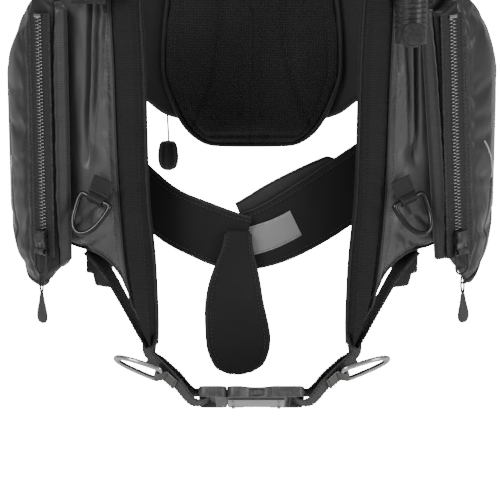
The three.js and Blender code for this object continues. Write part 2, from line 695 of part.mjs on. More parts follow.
// ---------- shoulders ----------
for (const { name, sign } of SIDES) {
  const x = (value) => sign * value;
  const strap = [
    laid(x(122), -268, 222),
    laid(x(117), -255, 254),
    laid(x(108), -218, 294),
    laid(x(100), -158, 316),
    laid(x(92), -95, 304),
    laid(x(86), -56, 264),
    laid(x(82), -43, 230),
    laid(x(82), -41.3, 203),
  ];
  const across = (t) => vector(1, x(-0.139) * Math.max(0, 3 * t - 2), 0).normalize();
  add(`shoulder_strap_${name}`, ribbon(strap, { width: 62, across, thick: 8, steps: 16 }), NEOPRENE);

  const axis = vector(x(0.12), 0.2, -1).normalize();
  const front = vector(0, -1, -0.2).normalize();
  const mouth = laid(x(135), -269, 154);
  const buckleGroup = facing(mouth, axis, front);
  const set = buckle(SHOULDER_BUCKLE);
  add(`shoulder_latch_${name}`, set.latchPart, PLASTIC, buckleGroup);
  add(`shoulder_socket_${name}`, set.socketPart, PLASTIC, buckleGroup);
  const upWay = axis.clone().negate();
  const sewn = [laid(x(118.5), -264.6, 249), laid(x(122), -274, 224), laid(x(127), -276, 206)];
  const upper = loopedWebbing(mouth, upWay, front, SHOULDER_BUCKLE.latch, sewn, [laid(x(130), -285, 196)]);
  const level = () => vector(1, 0, 0);
  const spec = { width: SHOULDER_WEBBING, across: level, thick: WEBBING_THICK, steps: 21, widthSteps: 1 };
  add(`shoulder_webbing_${name}`, ribbon(upper, spec), WEBBING);
  const onLobe = SKIN + LOBE_THICK + WEBBING_THICK / 2 - 0.7; // the lobe is thinner near its top
  const held = [wall(sign * 42, 47, onLobe), wall(sign * 42, 58, onLobe), laid(x(147), -257, 78)];
  const lower = loopedWebbing(mouth, axis, front, SHOULDER_BUCKLE.socket, held, [laid(x(146), -270, 64)]);
  const flat = (t) => vector(1, x(0.42) * Math.max(0, 1 - 3 * t), 0).normalize();
  add(`lobe_webbing_${name}`, ribbon(lower, { ...spec, across: flat, steps: 24 }), WEBBING);
}

// ---------- inflator, on the wearer's left ----------
// A group standing on the wall with its Y axis pointing outwards and its Z axis up.
function standOnWall(angle, z, offset) {
  const at = wall(angle, z, offset);
  const out = wall(angle, z, offset + 1).sub(at);
  return placedGroup(at, vector(out.y, -out.x, 0), out);
}

const REAR_SURFACE = SKIN + REAR_THICK + GAP;
const ELBOW = { angle: 141, z: 148, radius: 20, reach: 34, spout: 17, spoutTop: 38 };
const elbow = standOnWall(ELBOW.angle, ELBOW.z, REAR_SURFACE);
const elbowBody = cylinder(ELBOW.radius, ELBOW.reach, 20).translate(0, ELBOW.reach / 2, 0);
const spoutBlank = cylinder(ELBOW.spout, ELBOW.spoutTop, 20).rotateX(Math.PI / 2);
const elbowSpout = spoutBlank.translate(0, 17, ELBOW.spoutTop / 2);
const elbowFlange = cylinder(28, 4, 24).translate(0, 2, 0);
add("hose_elbow", join(elbowBody, elbowSpout, elbowFlange), PLASTIC, elbow);
elbow.updateMatrix();
const hoseStart = vector(0, 17, ELBOW.spoutTop + GAP).applyMatrix4(elbow.matrix);
const hosePath = [
  hoseStart,
  hoseStart.clone().add(vector(0, 0, 40)),
  laid(156, -62, 300),
  laid(160, -140, 336),
  laid(160, -225, 322),
  laid(154, -284, 276),
  laid(150, -308, 222),
  laid(150, -312, 160),
  laid(150, -312, 110),
];
add("inflator_hose", tube(hosePath, HOSE_RADIUS, 22, 10), RUBBER);
const inflator = placedGroup(laid(150, -312, 109.6), vector(0, 0, -1), vector(1, 0, 0));
const head = new THREE.CylinderGeometry(17, 17, 26, 20).rotateZ(Math.PI / 2).translate(13.4, 0, 0);
const barrel = cylinder(15, 74, 20).rotateZ(Math.PI / 2).translate(58, 0, 0);
const frontWay = vector(0, 0, 1).applyQuaternion(inflator.quaternion).y < 0 ? 1 : -1;
const mouthStub = cylinder(10, 24, 16).rotateX(Math.PI / 2).translate(84, 0, frontWay * 18);
const nipple = cylinder(6, 22, 14).translate(34, 22, 0);
const inflateWell = cylinder(7.3, 16, 18).rotateX(Math.PI / 2).translate(40, 0, frontWay * 13.5);
const deflateWell = cylinder(7.3, 16, 18).rotateZ(Math.PI / 2).translate(89.5, 0, 0);
add("inflator_body", cut(join(head, barrel, mouthStub, nipple), inflateWell, deflateWell), PLASTIC, inflator);
const inflateButton = cylinder(7, 9, 18).rotateX(Math.PI / 2).translate(40, 0, frontWay * (10.3 + 4.5));
const deflateButton = cylinder(7, 12, 18).rotateZ(Math.PI / 2).translate(86.3 + 6, 0, 0);
add("inflate_button", inflateButton, STEEL, inflator);
add("deflate_button", deflateButton, PLASTIC, inflator);

// ---------- dump valves ----------
// Each has a cord with a knob that hangs from its spout.
const KNOB_OUT = 14.7;

function dumpValve(name, { angle, z, radius, cord }) {
  const valve = standOnWall(angle, z, REAR_SURFACE);
  const body = cylinder(radius, 9, 24).translate(0, 4.5, 0);
  const cap = cylinder(radius * 0.8, 8, 24).translate(0, 12, 0);
  const spout = cylinder(5.5, 12.4, 14).rotateX(Math.PI / 2).translate(0, KNOB_OUT, -radius);
  const bore = cylinder(2.3, 25, 10).rotateX(Math.PI / 2).translate(0, KNOB_OUT, -radius);
  add(`${name}_valve`, cut(join(body, cap, spout), bore), PLASTIC, valve);
  const line = cylinder(1.2, cord, 8).rotateX(Math.PI / 2).translate(0, KNOB_OUT, 6 - radius - cord / 2);
  const outline = [[0, -33], [7, -31], [11, -26], [12, -18], [11, -8], [8, 0], [0, 0]];
  const knob = new THREE.LatheGeometry(outline.map(([r, h]) => new THREE.Vector2(r, h)), 14);
  const hungKnob = knob.rotateX(Math.PI / 2).translate(0, KNOB_OUT, 7 - radius - cord);
  add(`${name}_pull`, join(line, hungKnob), RUBBER, valve);
}

dumpValve("rear_dump", { angle: -159.5, z: -46, radius: 24, cord: 62 });
dumpValve("shoulder_dump", { angle: -141, z: 158, radius: 22, cord: 46 });

// The rest's rear face stays at the origin whatever lies in front of it.
vest.position.y = -restBack;

export default vest;
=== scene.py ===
"""A jacket-style buoyancy compensator vest, finished in cloth, webbing, rubber and metal over its frame."""
import math

import bmesh
import bpy
import numpy as np
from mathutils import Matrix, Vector, noise
from mathutils.bvhtree import BVHTree


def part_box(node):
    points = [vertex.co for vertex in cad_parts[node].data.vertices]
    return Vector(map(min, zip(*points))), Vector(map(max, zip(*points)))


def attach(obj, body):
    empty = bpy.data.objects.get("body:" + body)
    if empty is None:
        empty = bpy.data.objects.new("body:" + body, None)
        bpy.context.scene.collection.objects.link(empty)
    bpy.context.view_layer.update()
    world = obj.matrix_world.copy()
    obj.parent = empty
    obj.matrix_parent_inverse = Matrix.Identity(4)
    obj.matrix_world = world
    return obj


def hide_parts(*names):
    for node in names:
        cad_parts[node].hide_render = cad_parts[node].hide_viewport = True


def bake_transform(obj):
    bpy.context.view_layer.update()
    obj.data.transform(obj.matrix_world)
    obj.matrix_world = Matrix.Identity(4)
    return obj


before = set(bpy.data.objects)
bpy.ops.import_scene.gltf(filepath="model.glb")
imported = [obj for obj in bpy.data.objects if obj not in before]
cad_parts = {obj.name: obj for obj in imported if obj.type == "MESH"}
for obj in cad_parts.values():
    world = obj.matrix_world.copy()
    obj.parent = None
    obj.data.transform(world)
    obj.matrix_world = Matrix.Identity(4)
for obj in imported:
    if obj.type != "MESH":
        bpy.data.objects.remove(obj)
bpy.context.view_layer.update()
scene = bpy.context.scene

MM = 0.001
GAP = 0.3
SKIN = 2.0
PER_DEGREE = 2.9  # millimetres round the chest for each degree, roughly
WEBBING_THICK = 2.4
WIRE = 2.6

# ---------- camera, floor and light ----------


def aimed(thing, at, towards):
    """Places a camera or a lamp at a point, looking at another."""
    thing.location = at
    thing.rotation_euler = (Vector(towards) - Vector(at)).to_track_quat("-Z", "Y").to_euler()
    scene.collection.objects.link(thing)
    return thing


VIEW_TARGET = Vector((-0.002, -0.255, -0.197))
VIEW_DISTANCE = 1.8
VIEW_RISE = math.radians(12)
view_from = VIEW_TARGET + VIEW_DISTANCE * Vector((0, -math.cos(VIEW_RISE), math.sin(VIEW_RISE)))
camera_data = bpy.data.cameras.new("camera")
camera_data.lens = 129.6
camera_data.sensor_width = 36
scene.camera = aimed(bpy.data.objects.new("camera", camera_data), view_from, VIEW_TARGET)


def soft_lamp(name, at, towards, width, power, colour=(1, 1, 1)):
    """A large rectangular studio lamp."""
    lamp = bpy.data.lights.new(name, "AREA")
    lamp.shape = "SQUARE"
    lamp.size = width
    lamp.energy = power
    lamp.color = colour
    return aimed(bpy.data.objects.new(name, lamp), at, towards)


soft_lamp("key_lamp", (-1.4, -1.9, 1.5), (0, -0.2, -0.1), 1.0, 44)
soft_lamp("fill_lamp", (1.9, -1.5, 0.7), (0, -0.2, -0.1), 1.1, 24)
soft_lamp("rim_lamp", (0.4, 1.6, 1.6), (0, -0.1, 0), 1.5, 30)

# the backdrop is bright to the camera and dim to everything else
BACKDROP_SEEN, BACKDROP_LIGHT = 18.0, 0.42
studio = bpy.data.worlds.new("studio")
studio.use_nodes = True
backdrop = studio.node_tree
sight = backdrop.nodes.new("ShaderNodeLightPath").outputs["Is Camera Ray"]
level = backdrop.nodes.new("ShaderNodeMapRange")
level.inputs["To Min"].default_value = BACKDROP_LIGHT
level.inputs["To Max"].default_value = BACKDROP_SEEN
backdrop.links.new(sight, level.inputs["Value"])
backdrop.links.new(level.outputs[0], backdrop.nodes["Background"].inputs["Strength"])
backdrop.nodes["Background"].inputs["Color"].default_value = (1, 1, 1, 1)
scene.world = studio

# ---------- the fitted torso ----------
TORSO_HALF_WIDTH = 200.0
TORSO_HALF_DEPTH = 104.0
TORSO_CENTRE = -136.6
SQUARENESS = 2.6
LOBE_THICK = 28.0
TRIM_THICK = 22.0
REAR_THICK = 16.0


def power(x, exponent):
    return np.sign(x) * np.abs(x) ** exponent


def lerp(a, b, t):
    return a + (b - a) * t


def wall_out(angle):
    """The direction away from the wearer at an angle from the front."""
    e = 2 * (SQUARENESS - 1) / SQUARENESS
    s, c = np.sin(np.radians(angle)), np.cos(np.radians(angle))
    out = np.stack([power(s, e) / TORSO_HALF_WIDTH, -power(c, e) / TORSO_HALF_DEPTH, 0 * s], -1)
    return out / np.linalg.norm(out, axis=-1, keepdims=True)


def wall(angle, z, offset):
    """Points outside the wearer: degrees from the front, positive to the left, a height and an offset."""
    angle, z, offset = np.broadcast_arrays(np.asarray(angle, float), z, offset)
    s, c = np.sin(np.radians(angle)), np.cos(np.radians(angle))
    x = TORSO_HALF_WIDTH * power(s, 2 / SQUARENESS)
    y = TORSO_CENTRE - TORSO_HALF_DEPTH * power(c, 2 / SQUARENESS)
    return np.stack([x, y, z], -1) + wall_out(angle) * offset[..., None]


def wall_place(points):
    """The angle, height and offset of points, the other way round from wall()."""
    n = SQUARENESS / 2
    inner = points.copy()
    for _ in range(3):
        s = power(inner[:, 0] / TORSO_HALF_WIDTH, n)
        c = power((TORSO_CENTRE - inner[:, 1]) / TORSO_HALF_DEPTH, n)
        angle = np.degrees(np.arctan2(s, c))
        away = np.einsum("ij,ij->i", points - wall(angle, points[:, 2], 0.0), wall_out(angle))
        inner = points - wall_out(angle) * away[:, None]
    return angle, points[:, 2], away


_angles = np.linspace(-360, 360, 1441)
_steps = np.linalg.norm(np.diff(wall(_angles, 0.0, 15.0), axis=0), axis=1)
_arc = np.concatenate([[0], np.cumsum(_steps)])


def arc_length(angle):
    """How far round the wearer an angle lies, in millimetres."""
    return np.interp(angle, _angles, _arc) - np.interp(0.0, _angles, _arc)


def profile(*knots):
    """A smooth curve through (x, y) knots, as a function of x."""
    xs, ys = np.array(knots, float).T
    last = len(xs) - 1
    before = np.maximum(np.arange(last + 1) - 1, 0)
    after = np.minimum(np.arange(last + 1) + 1, last)
    slope = (ys[after] - ys[before]) / (xs[after] - xs[before])

    def at(x):
        i = np.clip(np.searchsorted(xs, x) - 1, 0, last - 1)
        h = xs[i + 1] - xs[i]
        t = np.clip((x - xs[i]) / h, 0, 1)
        s = 1 - t
        cubic = ys[i] * s * s * (1 + 2 * t) + ys[i + 1] * t * t * (3 - 2 * t)
        return cubic + h * t * s * (slope[i] * s - slope[i + 1] * t)

    return at


class Path:
    """A centripetal Catmull-Rom curve through points, the one that the frame's straps and hoses follow."""

    def __init__(self, points, closed=False):
        self.points = np.array(points, float)
        self.closed = closed

    def at(self, t):
        pts, count = self.points, len(self.points)
        p = np.asarray(t, float) * (count if self.closed else count - 1)
        i = np.floor(p).astype(int)
        if not self.closed:
            i = np.minimum(i, count - 2)
        f = (p - i)[:, None]
        if self.closed:
            p0, p1, p2, p3 = (pts[(i + k) % count] for k in (-1, 0, 1, 2))
        else:
            first, final = 2 * pts[0] - pts[1], 2 * pts[-1] - pts[-2]
            longer = np.vstack([first, pts, final])
            p0, p1, p2, p3 = (longer[i + k] for k in (0, 1, 2, 3))
        d0, d1, d2 = (
            np.linalg.norm(b - a, axis=1)[:, None] ** 0.5 for a, b in ((p0, p1), (p1, p2), (p2, p3))
        )
        m1 = ((p1 - p0) / d0 - (p2 - p0) / (d0 + d1) + (p2 - p1) / d1) * d1
        m2 = ((p2 - p1) / d1 - (p3 - p1) / (d1 + d2) + (p3 - p2) / d2) * d1
        c2 = -3 * p1 + 3 * p2 - 2 * m1 - m2
        c3 = 2 * p1 - 2 * p2 + m1 + m2
        return p1 + m1 * f + c2 * f**2 + c3 * f**3

    def tangent(self, t):
        step = 1e-4
        t = np.asarray(t, float)
        if self.closed:
            way = self.at(t + step) - self.at(t - step + (t < step))
        else:
            way = self.at(np.minimum(t + step, 1)) - self.at(np.maximum(t - step, 0))
        return way / np.linalg.norm(way, axis=1)[:, None]

    def even(self, count):
        """Values of t that are evenly spaced along the curve."""
        t = np.linspace(0, 1, 40 * len(self.points) + 1)
        run = np.concatenate([[0], np.cumsum(np.linalg.norm(np.diff(self.at(t), axis=0), axis=1))])
        return np.interp(np.linspace(0, run[-1], count), run, t)

    def length(self):
        return np.linalg.norm(np.diff(self.at(np.linspace(0, 1, 400)), axis=0), axis=1).sum()


def unit(v):
    v = np.asarray(v, float)
    return v / np.linalg.norm(v, axis=-1, keepdims=True)


class Frame:
    """A place with X along one direction, Y near another, and Z square to both."""

    def __init__(self, at, along, across):
        self.at = np.asarray(at, float)
        x = unit(along)
        z = unit(np.cross(x, across))
        self.axes = np.stack([x, np.cross(z, x), z])

    def put(self, points):
        return self.at + np.asarray(points, float) @ self.axes


def facing(at, along, out):
    """A Frame whose Z is out and whose X is as near as can be to along."""
    along, out = np.asarray(along, float), unit(out)
    return Frame(at, along - out * (along @ out), np.cross(out, along))


def stand_on_wall(angle, z, offset):
    out = wall_out(np.array([float(angle)]))[0]
    return Frame(wall([float(angle)], z, offset)[0], (out[1], -out[0], 0), out)


# ---------- meshes ----------


def finished_mesh(name, points, faces, material, lay=None, edge=None, sharp=None):
    """A mesh object from points in millimetres, with its cloth coordinates and its edge mask."""
    points = np.asarray(points, float)
    faces = [list(f) for f in faces]
    volume = 0.0
    for face in faces:
        a = points[face[0]]
        for k in range(1, len(face) - 1):
            volume += float(a @ np.cross(points[face[k]], points[face[k + 1]]))
    if volume < 0:
        faces = [f[::-1] for f in faces]
    mesh = bpy.data.meshes.new(name)
    mesh.from_pydata((points * MM).tolist(), [], faces)
    mesh.polygons.foreach_set("use_smooth", [True] * len(faces))
    if sharp:
        mesh.set_sharp_from_angle(angle=math.radians(sharp))
    mesh.update()
    obj = bpy.data.objects.new(name, mesh)
    scene.collection.objects.link(obj)
    if lay is not None:
        write_lay(obj, lay)
    if edge is not None:
        write_edge(obj, edge)
    mesh.materials.append(material)
    return obj


def write_lay(obj, lay):
    """Keeps where each point lies on its cloth, in metres."""
    mesh = obj.data
    layer = mesh.attributes.get("lay") or mesh.attributes.new("lay", "FLOAT_VECTOR", "POINT")
    flat = np.zeros((len(mesh.vertices), 3), np.float32)
    flat[:, : lay.shape[1]] = lay * MM
    layer.data.foreach_set("vector", flat.ravel())


def write_edge(obj, edge):
    """Keeps how near each point is to a worn edge, from 0 to 1."""
    mesh = obj.data
    layer = mesh.attributes.get("edge") or mesh.attributes.new("edge", "FLOAT", "POINT")
    layer.data.foreach_set("value", np.asarray(edge, np.float32))


def box_surface(nu, nv, nw):
    """The (u, v, w) of each point on a unit box's surface, and its outward quads."""
    counts = (nu, nv, nw)
    corners, quads = [], []
    base = 0
    for fixed, (first, second) in enumerate(((1, 2), (2, 0), (0, 1))):
        rows, columns = counts[first], counts[second]
        a, b = np.meshgrid(np.arange(rows + 1), np.arange(columns + 1), indexing="ij")
        for value in (0, counts[fixed]):
            lattice = np.zeros((a.size, 3), int)
            lattice[:, first] = a.ravel()
            lattice[:, second] = b.ravel()
            lattice[:, fixed] = value
            i, j = np.meshgrid(np.arange(rows), np.arange(columns), indexing="ij")
            k = base + (i * (columns + 1) + j).ravel()
            quad = np.stack([k, k + columns + 1, k + columns + 2, k + 1], 1)
            quads.append(quad if value else quad[:, ::-1])
            corners.append(lattice)
            base += len(lattice)
    lattice = np.vstack(corners)
    unique, back = np.unique(lattice, axis=0, return_inverse=True)
    return unique / np.array(counts, float), back.ravel()[np.vstack(quads)]


def rounded(t, share):
    """Moves t in from 0 and 1 by a share."""
    return share + (1 - 2 * share) * t


def ribbon(
    name, path, material, width, across, thick, steps, lift=0.0, width_steps=6, soften=0.0, even=True
):
    """A strip along a path. across(t) is the direction of its width, and width may be a function of t."""
    uvw, quads = box_surface(steps, width_steps, 2)
    u, v, w = uvw.T
    spaced = path.even(steps + 1) if even else np.linspace(0, 1, steps + 1)
    t = spaced[np.rint(u * steps).astype(int)]
    along = path.tangent(t)
    wide = np.array([unit(across(x)) for x in spaced])[np.rint(u * steps).astype(int)]
    side = unit(wide - along * np.einsum("ij,ij->i", wide, along)[:, None])
    out = unit(np.cross(along, side))
    span = width(t) if callable(width) else np.full(len(t), float(width))
    depth = (thick(t, v) if callable(thick) else thick) * np.ones(len(t))
    rim = np.where((v == 0) | (v == 1), 0.45, 1.0) if width_steps > 2 else 1.0
    height = lift(t, v) if callable(lift) else lift
    flat = path.at(t) + side * ((v - 0.5) * span)[:, None]
    points = flat + out * (height + (w - 0.5) * depth * rim)[:, None]
    if soften:
        ripple = np.array([noise.noise(Vector(p) * 0.021) for p in points.tolist()])
        points = points + out * (ripple * soften)[:, None]
    lay = np.stack([u * path.length(), (v - 0.5) * span, w], 1)
    edge = np.clip((np.abs(v - 0.5) - 0.44) / 0.06, 0, 1)
    return finished_mesh(name, points, quads, material, lay, edge, sharp=50)


def tube(name, centres, radius, material, sides=10, closed=False, squash=None):
    """A round piece along points, in millimetres, with its ends closed."""
    centres = np.asarray(centres, float)
    count = len(centres)
    if closed:
        ways = unit(np.roll(centres, -1, 0) - np.roll(centres, 1, 0))
    else:
        ways = unit(np.gradient(centres, axis=0))
    start = np.array([0, 0, 1.0]) if abs(ways[0][2]) < 0.9 else np.array([1.0, 0, 0])
    normal = unit(start - ways[0] * (start @ ways[0]))
    normals = []
    for way in ways:
        normal = unit(normal - way * (normal @ way))
        normals.append(normal)
    normals = np.array(normals)
    sides_across = np.cross(ways, normals)
    turn = np.linspace(0, 2 * math.pi, sides, endpoint=False)
    radii = np.asarray(radius, float) * np.ones(count)
    upright = np.cos(turn)[None, :, None] * normals[:, None] * (squash or 1)
    circle = upright + np.sin(turn)[None, :, None] * sides_across[:, None]
    points = (centres[:, None] + circle * radii[:, None, None]).reshape(-1, 3)
    faces = []
    for i in range(count if closed else count - 1):
        j = (i + 1) % count
        for k in range(sides):
            m = (k + 1) % sides
            faces.append([i * sides + k, i * sides + m, j * sides + m, j * sides + k])
    if not closed:
        faces.append(list(range(sides))[::-1])
        faces.append([(count - 1) * sides + k for k in range(sides)])
    run = np.concatenate([[0], np.cumsum(np.linalg.norm(np.diff(centres, axis=0), axis=1))])
    lay = np.stack([np.repeat(run, sides), np.tile(turn * radii.mean(), count)], 1)
    return finished_mesh(name, points, faces, material, lay, np.zeros(len(points)), sharp=60)


def lathe(name, outline, place, material, sides=40, flutes=0, depth=0.0):
    """A turned piece with closed ends, from (radius, height) pairs about a place's Z, fluted if asked."""
    outline = np.asarray(outline, float)
    turn = np.linspace(0, 2 * math.pi, sides, endpoint=False)
    points, faces = [], []
    widest = max(outline[:, 0].max(), 1e-6)
    for r, h in outline:
        cut = r
        if flutes:
            cut = r - depth * (0.5 + 0.5 * np.cos(flutes * turn)) * min(r / widest, 1)
        points.append(np.stack([cut * np.cos(turn), cut * np.sin(turn), 0 * turn + h], 1))
    rows = len(outline)
    for i in range(rows - 1):
        for k in range(sides):
            m = (k + 1) % sides
            faces.append([i * sides + k, i * sides + m, (i + 1) * sides + m, (i + 1) * sides + k])
    faces.append(list(range(sides))[::-1])
    faces.append([(rows - 1) * sides + k for k in range(sides)])
    flat = place(np.vstack(points))
    return finished_mesh(name, flat, faces, material, None, None, sharp=35)


def curvature_edges(obj):
    """Marks the points where a hard piece turns sharply, which is where it wears."""
    bm = bmesh.new()
    bm.from_mesh(obj.data)
    mask = np.zeros(len(bm.verts), np.float32)
    for v in bm.verts:
        bends = [e.calc_face_angle(0.0) for e in v.link_edges if len(e.link_faces) == 2]
        mask[v.index] = min(max(bends, default=0.0) / 0.7, 1.0)
    bm.free()
    write_edge(obj, mask)


def plain(obj):
    """Applies a piece's modifiers and leaves a plain mesh."""
    bpy.context.view_layer.update()
    deps = bpy.context.evaluated_depsgraph_get()
    made = bpy.data.meshes.new_from_object(obj.evaluated_get(deps))
    obj.modifiers.clear()
    obj.data = made
    return obj


def refined(name, node, material, bevel=0.7, segments=3, angle=32):
    """A copy of a hard node with its flat faces joined up and its edges rounded over."""
    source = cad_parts[node]
    mesh = source.data.copy()
    mesh.name = name
    mesh.materials.clear()
    mesh.materials.append(material)
    bm = bmesh.new()
    bm.from_mesh(mesh)
    bmesh.ops.remove_doubles(bm, verts=bm.verts, dist=1e-6)
    bmesh.ops.dissolve_limit(bm, angle_limit=math.radians(1.5), verts=bm.verts, edges=bm.edges)
    for face in bm.faces:
        face.smooth = True
        face.material_index = 0
    bm.to_mesh(mesh)
    bm.free()
    obj = bpy.data.objects.new(name, mesh)
    scene.collection.objects.link(obj)
    round_over = obj.modifiers.new("round_over", "BEVEL")
    round_over.width = bevel * MM
    round_over.segments = segments
    round_over.limit_method = "ANGLE"
    round_over.angle_limit = math.radians(angle)
    round_over.use_clamp_overlap = True
    round_over.harden_normals = False
    plain(obj)
    obj.data.set_sharp_from_angle(angle=math.radians(40))
    curvature_edges(obj)
    return obj


def settle(obj, body, slot, *nodes):
    """Gives a finished piece its body and hides the nodes that it stands for. Its slot is not used."""
    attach(obj, body)
    if nodes:
        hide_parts(*nodes)
    return obj


# ---------- shared effects ----------


def put(tree, kind, links=None, **settings):
    """Adds a node, with its settings and with values or wires for its inputs."""
    made = tree.nodes.new(kind)
    for key, value in settings.items():
        setattr(made, key, value)
    for key, value in (links or {}).items():
        socket = made.inputs[key]
        if isinstance(value, bpy.types.NodeSocket):
            tree.links.new(value, socket)
        else:
            socket.default_value = value
    return made


def maths(tree, operation, a, b=0.0, clamp=False):
    return put(tree, "ShaderNodeMath", {0: a, 1: b}, operation=operation, use_clamp=clamp).outputs[0]


def group(name, inputs, outputs):
    """An empty shader node group with named inputs and outputs."""
    tree = bpy.data.node_groups.new(name, "ShaderNodeTree")
    for label, kind, value in inputs:
        socket = tree.interface.new_socket(label, in_out="INPUT", socket_type=kind)
        if value is not None:
            socket.default_value = value
    for label, kind in outputs:
        tree.interface.new_socket(label, in_out="OUTPUT", socket_type=kind)
    return tree, tree.nodes.new("NodeGroupInput"), tree.nodes.new("NodeGroupOutput")


FLOAT, VECTOR = "NodeSocketFloat", "NodeSocketVector"


def build_weave():
    """Threads over and under each other, on cloth coordinates, with a mask of painted shade for the gaps
    between the threads.
    """
    tree, given, result = group(
        "weave", [("Lay", VECTOR, None), ("Pitch", FLOAT, 0.001)], [("Height", FLOAT), ("Gap_Shade", FLOAT)],
    )
    parts = put(tree, "ShaderNodeSeparateXYZ", {0: given.outputs["Lay"]})
    turns = maths(tree, "DIVIDE", 2 * math.pi, given.outputs["Pitch"])
    first = maths(tree, "SINE", maths(tree, "MULTIPLY", parts.outputs[0], turns))
    second = maths(tree, "SINE", maths(tree, "MULTIPLY", parts.outputs[1], turns))
    over = maths(tree, "MULTIPLY", first, second)
    height = maths(tree, "ADD", maths(tree, "MULTIPLY", over, 0.5), 0.5)
    thread_crown = maths(tree, "MULTIPLY", maths(tree, "ABSOLUTE", first), maths(tree, "ABSOLUTE", second))
    tree.links.new(height, result.inputs["Height"])
    # painted shade: 1 in the gaps where the threads part, 0 on their crowns
    tree.links.new(maths(tree, "SUBTRACT", 1.0, thread_crown), result.inputs["Gap_Shade"])
    return tree


def build_ribs():
    """Raised ribs across a strap or a pad, with a finer thread along each, and a mask of painted shade for
    the troughs between the ribs.
    """
    tree, given, result = group(
        "ribs", [("Lay", VECTOR, None), ("Pitch", FLOAT, 0.002)], [("Height", FLOAT), ("Gap_Shade", FLOAT)],
    )
    parts = put(tree, "ShaderNodeSeparateXYZ", {0: given.outputs["Lay"]})
    turns = maths(tree, "DIVIDE", 2 * math.pi, given.outputs["Pitch"])
    rib = maths(tree, "SINE", maths(tree, "MULTIPLY", parts.outputs[0], turns))
    slant = maths(
        tree, "ADD", maths(tree, "MULTIPLY", parts.outputs[1], turns),
        maths(tree, "MULTIPLY", parts.outputs[0], maths(tree, "MULTIPLY", turns, 0.5)),
    )
    thread = maths(tree, "SINE", slant)
    height = maths(tree, "ADD", maths(tree, "MULTIPLY", rib, 0.35), maths(tree, "MULTIPLY", thread, 0.15))
    tree.links.new(maths(tree, "ADD", height, 0.5), result.inputs["Height"])
    # painted shade: darkest in the troughs between the ribs
    low = maths(tree, "SUBTRACT", 0.5, maths(tree, "MULTIPLY", rib, 0.5))
    tree.links.new(maths(tree, "POWER", low, 3.0), result.inputs["Gap_Shade"])
    return tree


def build_air_mesh():
    """The round holes of a knitted spacer mesh, with a mask of painted shade inside each hole."""
    tree, given, result = group(
        "air_mesh", [("Lay", VECTOR, None), ("Pitch", FLOAT, 0.0028)],
        [("Height", FLOAT), ("Hole_Shade", FLOAT)],
    )
    scale = maths(tree, "DIVIDE", 1.0, given.outputs["Pitch"])
    cells = put(
        tree, "ShaderNodeTexVoronoi", {"Vector": given.outputs["Lay"], "Scale": scale, "Randomness": 0.28},
        voronoi_dimensions="2D",
    )
    hole = put(
        tree, "ShaderNodeMapRange",
        {
            "Value": cells.outputs["Distance"], "From Min": 0.18, "From Max": 0.42, "To Min": 1.0,
            "To Max": 0.0,
        },
    )
    tree.links.new(maths(tree, "SUBTRACT", 1.0, hole.outputs[0]), result.inputs["Height"])
    # painted shade: darkest in the middle of each hole
    tree.links.new(hole.outputs[0], result.inputs["Hole_Shade"])
    return tree


def build_variation():
    """Slow changes of tone over a cloth or a moulding, with fine specks over them."""
    tree, given, result = group(
        "variation", [("Place", VECTOR, None), ("Size", FLOAT, 0.06)], [("Tone", FLOAT), ("Speck", FLOAT)],
    )
    scale = maths(tree, "DIVIDE", 1.0, given.outputs["Size"])
    slow = put(
        tree, "ShaderNodeTexNoise",
        {"Vector": given.outputs["Place"], "Scale": scale, "Detail": 3.0, "Roughness": 0.55},
    )
    fast = put(
        tree, "ShaderNodeTexNoise", {"Vector": given.outputs["Place"], "Scale": 900.0, "Detail": 2.0},
    )
    tree.links.new(slow.outputs[0], result.inputs["Tone"])
    tree.links.new(fast.outputs[0], result.inputs["Speck"])
    return tree


def build_wear():
    """Rubbed edges, broken up so that they don't read as a drawn line."""
    tree, given, result = group(
        "edge_wear", [("Place", VECTOR, None), ("Amount", FLOAT, 0.5)], [("Wear", FLOAT)],
    )
    edge = put(tree, "ShaderNodeAttribute", attribute_name="edge")
    rough = put(
        tree, "ShaderNodeTexNoise",
        {"Vector": given.outputs["Place"], "Scale": 260.0, "Detail": 4.0, "Roughness": 0.7},
    )
    broken = put(
        tree, "ShaderNodeMapRange", {"Value": rough.outputs[0], "From Min": 0.42, "From Max": 0.62},
    )
    worn = maths(tree, "MULTIPLY", edge.outputs["Fac"], broken.outputs[0])
    tree.links.new(
        maths(tree, "MULTIPLY", worn, given.outputs["Amount"], clamp=True), result.inputs["Wear"],
    )
    return tree


WEAVE, RIBS, AIR_MESH, VARIATION, EDGE_WEAR = (make() for make in (
    build_weave, build_ribs, build_air_mesh, build_variation, build_wear,
))

# ---------- finishes ----------


def srgb(value):
    """A screen grey, or three of them, as linear light."""
    values = value if isinstance(value, tuple) else (value, value, value)
    return tuple((v / 255 / 12.92) if v < 10 else ((v / 255 + 0.055) / 1.055) ** 2.4 for v in values) + (1.0,)


def mixed(tree, amount, a, b):
    mix = put(tree, "ShaderNodeMix", data_type="RGBA")
    for socket, value in ((mix.inputs[0], amount), (mix.inputs[6], a), (mix.inputs[7], b)):
        if isinstance(value, bpy.types.NodeSocket):
            tree.links.new(value, socket)
        else:
            socket.default_value = value
    return mix.outputs[2]


